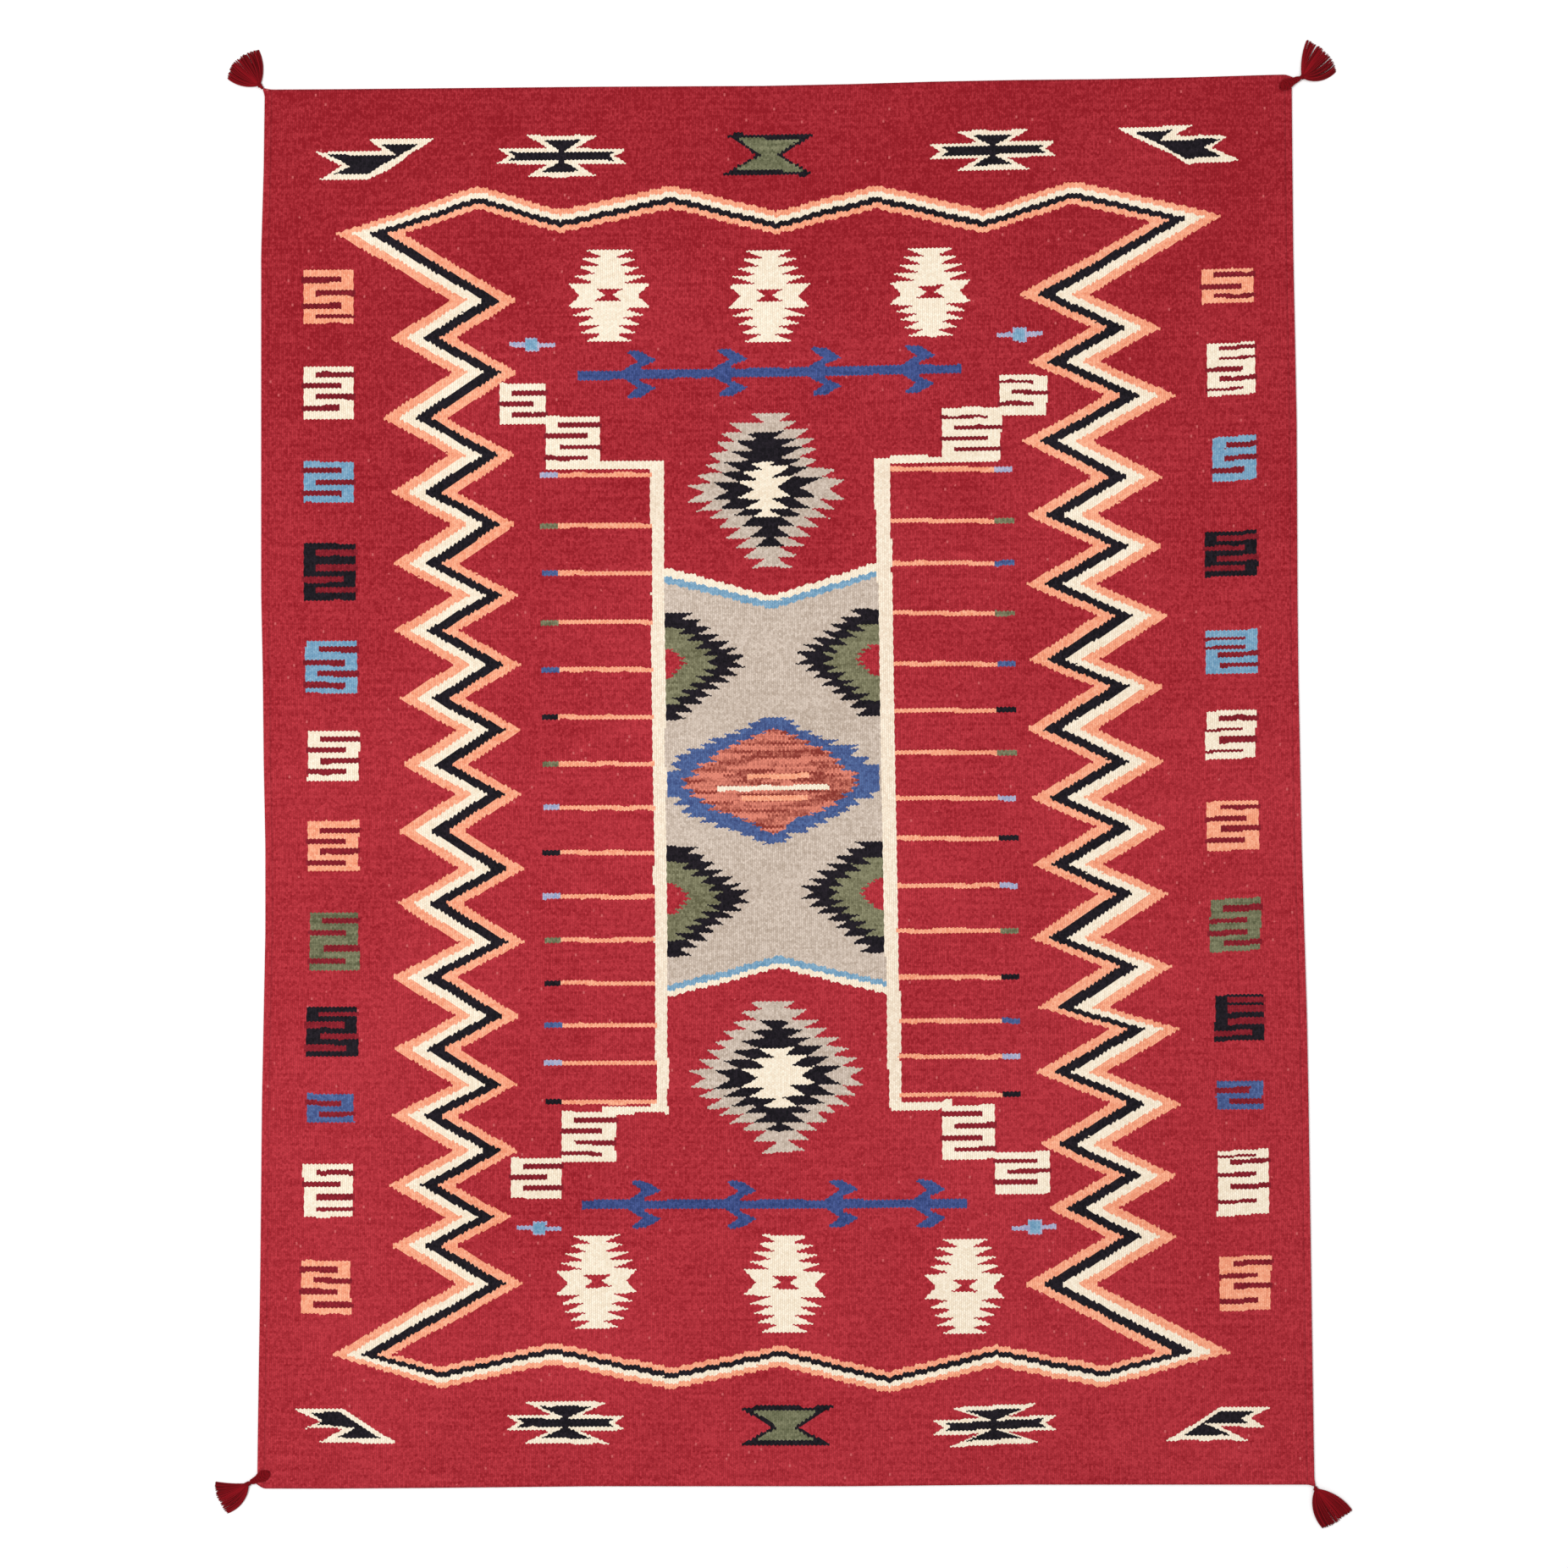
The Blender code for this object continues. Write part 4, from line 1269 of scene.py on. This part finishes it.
# The tassels: the same fans as the solids, in finer plied strands
TASSELS = {
    "top_left": {
        "neck": (-757.0, 1008.8),
        "points": 130.5,
        "half_spread": 38.0,
        "bow": {"left": 28.0, "right": 24.0},
        "length": {"left": 47.4, "middle": 50.0, "right": 51.6},
        "knot": None,
    },
    "top_right": {
        "neck": (747.9, 1020.4),
        "points": 46.0,
        "half_spread": 35.6,
        "bow": {"left": 15.0, "right": 42.0},
        "length": {"left": 54.6, "middle": 50.0, "right": 50.0},
        "knot": (723.6, 1009.0),
    },
    "bottom_right": {
        "neck": (767.4, -1017.6),
        "points": -55.0,
        "half_spread": 24.0,
        "bow": {"left": 25.0, "right": 34.0},
        "length": {"left": 61.4, "middle": 57.0, "right": 57.6},
        "knot": None,
    },
    "bottom_left": {
        "neck": (-773.5, -1010.0),
        "points": 205.3,
        "half_spread": 28.5,
        "bow": {"left": 38.0, "right": -8.0},
        "length": {"left": 52.6, "middle": 49.0, "right": 48.0},
        "knot": (-750.5, -997.6),
    },
}
LAYERS = (
    # strands, height of the layer's middle line, height above the neck
    (29, 0.8 * MM, 1.2 * MM),
    (30, 2.1 * MM, 2.8 * MM),
    (29, 3.4 * MM, 4.4 * MM),
)
STRAND_RADIUS = 0.8 * MM
STRAND_STATIONS = 20
STRAND_SIDES = 6
STRAND_SHADE_STEP = 0.06
OVAL_SIDES = 16
OVAL_SHADE_STEP = 0.3
FAN_START = 2.0 * MM
FAN_SETTLED = 26 * MM
STRAND_WANDER = 0.03
STRAND_RISE = 0.25
STRAND_TRIM = (-4.0, 0.6)
EDGE_TRIM = 0.6
TIP_FROM = 0.6
TIP_DROP = 0.6
TIP_TAPER = 0.3
TIP_TAPER_POWER = 8
NECK_STRANDS = 6
NECK_RADIUS = 1.6 * MM
NECK_TURNS = 1.6
NECK_INTO_FAN = 9.0 * MM
NECK_HEIGHTS = (1.9 * MM, 2.4 * MM, 2.9 * MM, 2.7 * MM)
NECK_STATIONS = 26
NECK_GAP = 0.5 * MM
NECK_STRAND = STRAND_RADIUS * 1.1
NECK_CORE = STRAND_RADIUS * 1.3
WRAP_TURNS = 4.5
WRAP_STEPS = 22
WRAP_REACH = (-0.6, 1.2)
WRAP_PITCH = 0.8
WRAP_HALF_WIDTH = 2.9 * MM
WRAP_HALF_HEIGHT = 2.1 * MM
WRAP_RADIUS = 0.75 * MM
# The knots, by share of the way from the knot's middle to the neck: half width, base and height
KNOT_STATIONS = (
    (-0.34, 2.2, 3.3, 1.6),
    (-0.22, 6.0, 3.3, 3.0),
    (0.0, 8.4, 3.3, 4.0),
    (0.22, 7.4, 3.3, 4.2),
    (0.45, 5.0, 3.3, 4.0),
    (0.74, 4.0, 3.3, 3.4),
    (0.80, 3.8, 1.2, 5.0),
)
KNOT_TURNS = 8
KNOT_STEPS = 22
KNOT_WINDINGS = (
    # which way round, how far inside the knot's outline
    (1, 0.75 * MM),
    (-1, 1.0 * MM),
)
KNOT_YARN = 1.0 * MM
KNOT_SLOPE = 0.16
KNOT_LEAST = (0.3 * MM, 0.2 * MM)
KNOT_CORE_FROM = 0.8
KNOT_CORE_RINGS = 12
KNOT_CORE_INSET = 1.4 * MM
NECK_FROM_KNOT = 0.72
TASSEL_SEED = 5


def on_side(table, side):
    """A value for a strand on this side of the fan, from -1 (right) to 1 (left)."""
    outer = table["left"] if side > 0 else table["right"]
    middle = table.get("middle", outer)
    return middle + (outer - middle) * side * side


def fan_point(fan, side, reach):
    """Where the strand on this side lies at this distance from the neck."""
    share = reach / (on_side(fan["length"], side) * MM)
    bow = on_side(fan["bow"], side)
    angle = math.radians(fan["points"] + side * (fan["half_spread"] + bow * (1 - share)))
    return plan(fan["neck"]) + np.array((math.cos(angle), math.sin(angle))) * reach


def smooth_step(value):
    value = min(max(value, 0.0), 1.0)
    return value * value * (3 - 2 * value)


class Yarn:
    """Strands gathered into one mesh, each with its own number for its shade."""

    def __init__(self):
        self.verts = []
        self.faces = []
        self.shade_places = []
        self.strands = 0

    def strand(self, points, radius, taper=False):
        """A round strand swept along its points, closed at both ends."""
        points = np.array(points)
        ahead = np.gradient(points, axis=0)
        ahead /= np.linalg.norm(ahead, axis=1, keepdims=True)
        across = np.cross(ahead, (0, 0, 1.0))
        across /= np.maximum(np.linalg.norm(across, axis=1, keepdims=True), 1e-9)
        above = np.cross(across, ahead)
        first = len(self.verts)
        last = len(points) - 1
        for number, place in enumerate(points):
            thick = radius
            if taper:
                thick = radius * (1 - TIP_TAPER * (number / last) ** TIP_TAPER_POWER)
            for side in range(STRAND_SIDES):
                angle = 2 * math.pi * side / STRAND_SIDES
                out = across[number] * math.cos(angle) + above[number] * math.sin(angle)
                self.verts.append(place + out * thick)
                self.shade(side / STRAND_SIDES, number * STRAND_SHADE_STEP)
        self.cover(first, last, STRAND_SIDES)

    def shade(self, turn, ahead):
        """Where a vertex lies in the strand's own span of the shade pattern."""
        self.shade_places.append((self.strands + 0.1 + 0.8 * turn, ahead))

    def oval(self, rings):
        """A closed form through oval rings, each a middle, a half width across and a half height."""
        first = len(self.verts)
        for number, (middle, across, up) in enumerate(rings):
            for side in range(OVAL_SIDES):
                angle = 2 * math.pi * side / OVAL_SIDES
                self.verts.append(middle + across * math.cos(angle) + up * math.sin(angle))
                self.shade(side / OVAL_SIDES, number * OVAL_SHADE_STEP)
        self.cover(first, len(rings) - 1, OVAL_SIDES)

    def cover(self, first, last, sides):
        self.faces.append(tuple(first + side for side in range(sides))[::-1])
        for ring in range(last):
            here = first + ring * sides
            for side in range(sides):
                after = here + (side + 1) % sides
                side += here
                self.faces.append((side, after, sides + after, sides + side))
        self.faces.append(tuple(first + last * sides + side for side in range(sides)))
        self.strands += 1

    def make(self, name, material):
        mesh = bpy.data.meshes.new(name)
        mesh.from_pydata([tuple(vert) for vert in self.verts], [], self.faces)
        mesh.materials.append(material)
        mesh.shade_smooth()
        numbers = np.empty(len(mesh.loops), np.int32)
        mesh.loops.foreach_get("vertex_index", numbers)
        layer = mesh.uv_layers.new(name="Strand")
        layer.data.foreach_set("uv", np.array(self.shade_places)[numbers].ravel())
        thing = bpy.data.objects.new(name, mesh)
        bpy.context.scene.collection.objects.link(thing)
        return thing


def spread_fan(yarn, fan, draw):
    """The fan's strands in three layers, trimmed a little unevenly."""
    for strands, level, neck_level in LAYERS:
        for number in range(strands):
            side = 2 * number / (strands - 1) - 1
            side += draw.uniform(-STRAND_WANDER, STRAND_WANDER)
            side = max(-1.0, min(1.0, side))
            length = on_side(fan["length"], side) * MM
            length += draw.uniform(*STRAND_TRIM) * MM * (1 - EDGE_TRIM * abs(side))
            wander = draw.uniform(-STRAND_WANDER, STRAND_WANDER)
            rise = draw.uniform(-STRAND_RISE, STRAND_RISE) * MM
            points = []
            for station in range(STRAND_STATIONS):
                share = station / (STRAND_STATIONS - 1)
                reach = FAN_START + (length - FAN_START) * share
                place = fan_point(fan, side * (1 + wander * share), reach)
                high = neck_level + (level - neck_level) * smooth_step(reach / FAN_SETTLED)
                drop = TIP_DROP * smooth_step((share - TIP_FROM) / (1 - TIP_FROM))
                high -= (high - STRAND_RADIUS) * drop
                points.append((place[0], place[1], max(high + rise * share, STRAND_RADIUS)))
            yarn.strand(points, STRAND_RADIUS, taper=True)


def wind_neck(yarn, start, fan):
    """The neck: strands twisted from the cloth into the fan, bound where the fan begins."""
    neck = plan(fan["neck"])
    points_to = math.radians(fan["points"])
    end = neck + np.array((math.cos(points_to), math.sin(points_to))) * NECK_INTO_FAN
    bend = [start, start + (neck - start) * 0.5, neck, end]
    shares = np.linspace(0, 1, NECK_STATIONS)
    stops = np.linspace(0, 1, len(bend))
    path = np.stack(
        [np.interp(shares, stops, [place[axis] for place in bend]) for axis in (0, 1)]
        + [np.interp(shares, stops, NECK_HEIGHTS)], axis=1,
    )
    ahead = np.gradient(path, axis=0)
    ahead /= np.linalg.norm(ahead, axis=1, keepdims=True)
    across = np.cross(ahead, (0, 0, 1.0))
    above = np.cross(across, ahead)
    for number in range(NECK_STRANDS):
        turn = 2 * math.pi * (number / NECK_STRANDS + NECK_TURNS * shares[:, None])
        out = NECK_RADIUS * (across * np.cos(turn) + above * np.sin(turn))
        yarn.strand(path + out, NECK_STRAND)
    yarn.strand(path, NECK_CORE)
    around = np.linspace(0, 2 * math.pi * WRAP_TURNS, int(WRAP_STEPS * WRAP_TURNS))
    wraps = np.linspace(*WRAP_REACH, len(around))[:, None] * MM * WRAP_TURNS * WRAP_PITCH
    forward = np.array((math.cos(points_to), math.sin(points_to), 0.0))
    sideways = np.array((-forward[1], forward[0], 0.0))
    middle = np.array((*neck, WRAP_HALF_HEIGHT + WRAP_RADIUS)) + forward * wraps
    coil = middle + sideways * WRAP_HALF_WIDTH * np.cos(around)[:, None]
    coil = coil + np.array((0, 0, 1.0)) * WRAP_HALF_HEIGHT * np.sin(around)[:, None]
    yarn.strand(coil, WRAP_RADIUS)


def tie_knot(yarn, fan):
    """The knot that lies on the cloth's corner: yarn wound round and round over a core."""
    knot = plan(fan["knot"])
    neck = plan(fan["neck"])
    ahead = neck - knot
    across = np.array((-ahead[1], ahead[0], 0.0)) / np.linalg.norm(ahead)
    shares, widths, bases, heights = np.array(KNOT_STATIONS).T
    steps = np.linspace(shares[0], shares[-1], KNOT_TURNS * KNOT_STEPS)

    def station(share, turn, inset):
        wide = np.interp(share, shares, widths) * MM - inset
        tall = np.interp(share, shares, heights) * MM / 2 - inset
        middle = np.interp(share, shares, bases) * MM + np.interp(share, shares, heights) * MM / 2
        place = np.array((*(knot + ahead * share), middle))
        up = np.array((0, 0, max(tall, KNOT_LEAST[1]) * math.sin(turn)))
        return place + across * max(wide, KNOT_LEAST[0]) * math.cos(turn) + up

    for layer, (lean, inset) in enumerate(KNOT_WINDINGS):
        coil = []
        for number, share in enumerate(steps[:: 1 + layer]):
            turn = lean * 2 * math.pi * number / KNOT_STEPS
            slope = KNOT_SLOPE * math.sin(turn + layer)
            coil.append(station(min(max(share + slope, shares[0]), shares[-1]), turn, inset))
        yarn.strand(coil, KNOT_YARN)
    core = []
    for share in np.linspace(shares[0] * KNOT_CORE_FROM, shares[-1], KNOT_CORE_RINGS):
        side = station(share, 0, KNOT_CORE_INSET)
        middle = (side + station(share, math.pi, KNOT_CORE_INSET)) / 2
        up = station(share, math.pi / 2, KNOT_CORE_INSET)
        core.append((middle, side - middle, up - middle))
    yarn.oval(core)


def build_tassel(corner, material):
    """One tassel: fan, neck and, where the photograph shows it, its knot on the cloth's corner."""
    fan = TASSELS[corner]
    yarn = Yarn()
    neck = plan(fan["neck"])
    spread_fan(yarn, fan, random.Random(TASSEL_SEED + len(corner)))
    if fan["knot"] is None:
        start = plan(CORNERS[corner][2:])
    else:
        start = plan(fan["knot"]) + (neck - plan(fan["knot"])) * NECK_FROM_KNOT
        tie_knot(yarn, fan)
    away = (neck - start) / np.linalg.norm(neck - start)
    wind_neck(yarn, start + away * NECK_GAP, fan)
    return yarn.make("tassel_" + corner + "_yarn", material)


# The studio
FLOOR_HALF = 6.0
FLOOR_DROP = 0.0005
FLOOR_SHADE = (0.93, 0.93, 0.93, 1.0)
CAMERA_LENS = 100.0
CAMERA_SENSOR = 36.0
WORLD_STRENGTH = 0.6
LIGHTS = (
    # name, place, size, power
    ("key", (-2.4, 0.0, 5.2), 2.0, 180.0),
    ("fill", (3.0, 2.8, 5.0), 3.0, 90.0),
)


def build_stage():
    """A plain pale floor, soft lights and the camera straight above, framed as the photograph."""
    mesh = bpy.data.meshes.new("floor")
    corners = ((-1, -1), (1, -1), (1, 1), (-1, 1))
    corners = [(x * FLOOR_HALF, y * FLOOR_HALF, -FLOOR_DROP) for x, y in corners]
    mesh.from_pydata(corners, [], [(0, 1, 2, 3)])
    material = bpy.data.materials.new("floor_white")
    material.use_nodes = True
    shader = material.node_tree.nodes["Principled BSDF"]
    shader.inputs["Base Color"].default_value = FLOOR_SHADE
    shader.inputs["Roughness"].default_value = 0.9
    shader.inputs["Specular IOR Level"].default_value = 0.0
    mesh.materials.append(material)
    floor = bpy.data.objects.new("floor", mesh)
    bpy.context.scene.collection.objects.link(floor)

    world = bpy.data.worlds.new("studio")
    world.use_nodes = True
    world.node_tree.nodes["Background"].inputs["Color"].default_value = (1.0, 1.0, 1.0, 1.0)
    world.node_tree.nodes["Background"].inputs["Strength"].default_value = WORLD_STRENGTH
    bpy.context.scene.world = world
    for name, place, size, power in LIGHTS:
        light = bpy.data.lights.new(name, "AREA")
        light.shape = "DISK"
        light.size = size
        light.energy = power
        lamp = bpy.data.objects.new(name, light)
        lamp.location = place
        lamp.rotation_euler = (-Vector(place)).to_track_quat("-Z", "Y").to_euler()
        bpy.context.scene.collection.objects.link(lamp)

    lens = bpy.data.cameras.new("camera")
    lens.lens = CAMERA_LENS
    lens.sensor_width = CAMERA_SENSOR
    lens.clip_end = 100.0
    camera = bpy.data.objects.new("camera", lens)
    spans = PHOTO_PIXELS * PIXEL
    camera.location = (0.0, 0.0, CLOTH_TOP + spans * CAMERA_LENS / CAMERA_SENSOR)
    bpy.context.scene.collection.objects.link(camera)
    bpy.context.scene.camera = camera
    bpy.context.scene.view_settings.view_transform = "Standard"


def build():
    materials = {name: yarn_material(name, *shades) for name, shades in YARNS.items()}
    cloth = build_cloth(materials)
    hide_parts("rug")
    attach(cloth, "root")
    yarn = tassel_material()
    for corner in TASSELS:
        tassel = build_tassel(corner, yarn)
        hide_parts("tassel_" + corner)
        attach(tassel, "root")
    build_stage()


build()
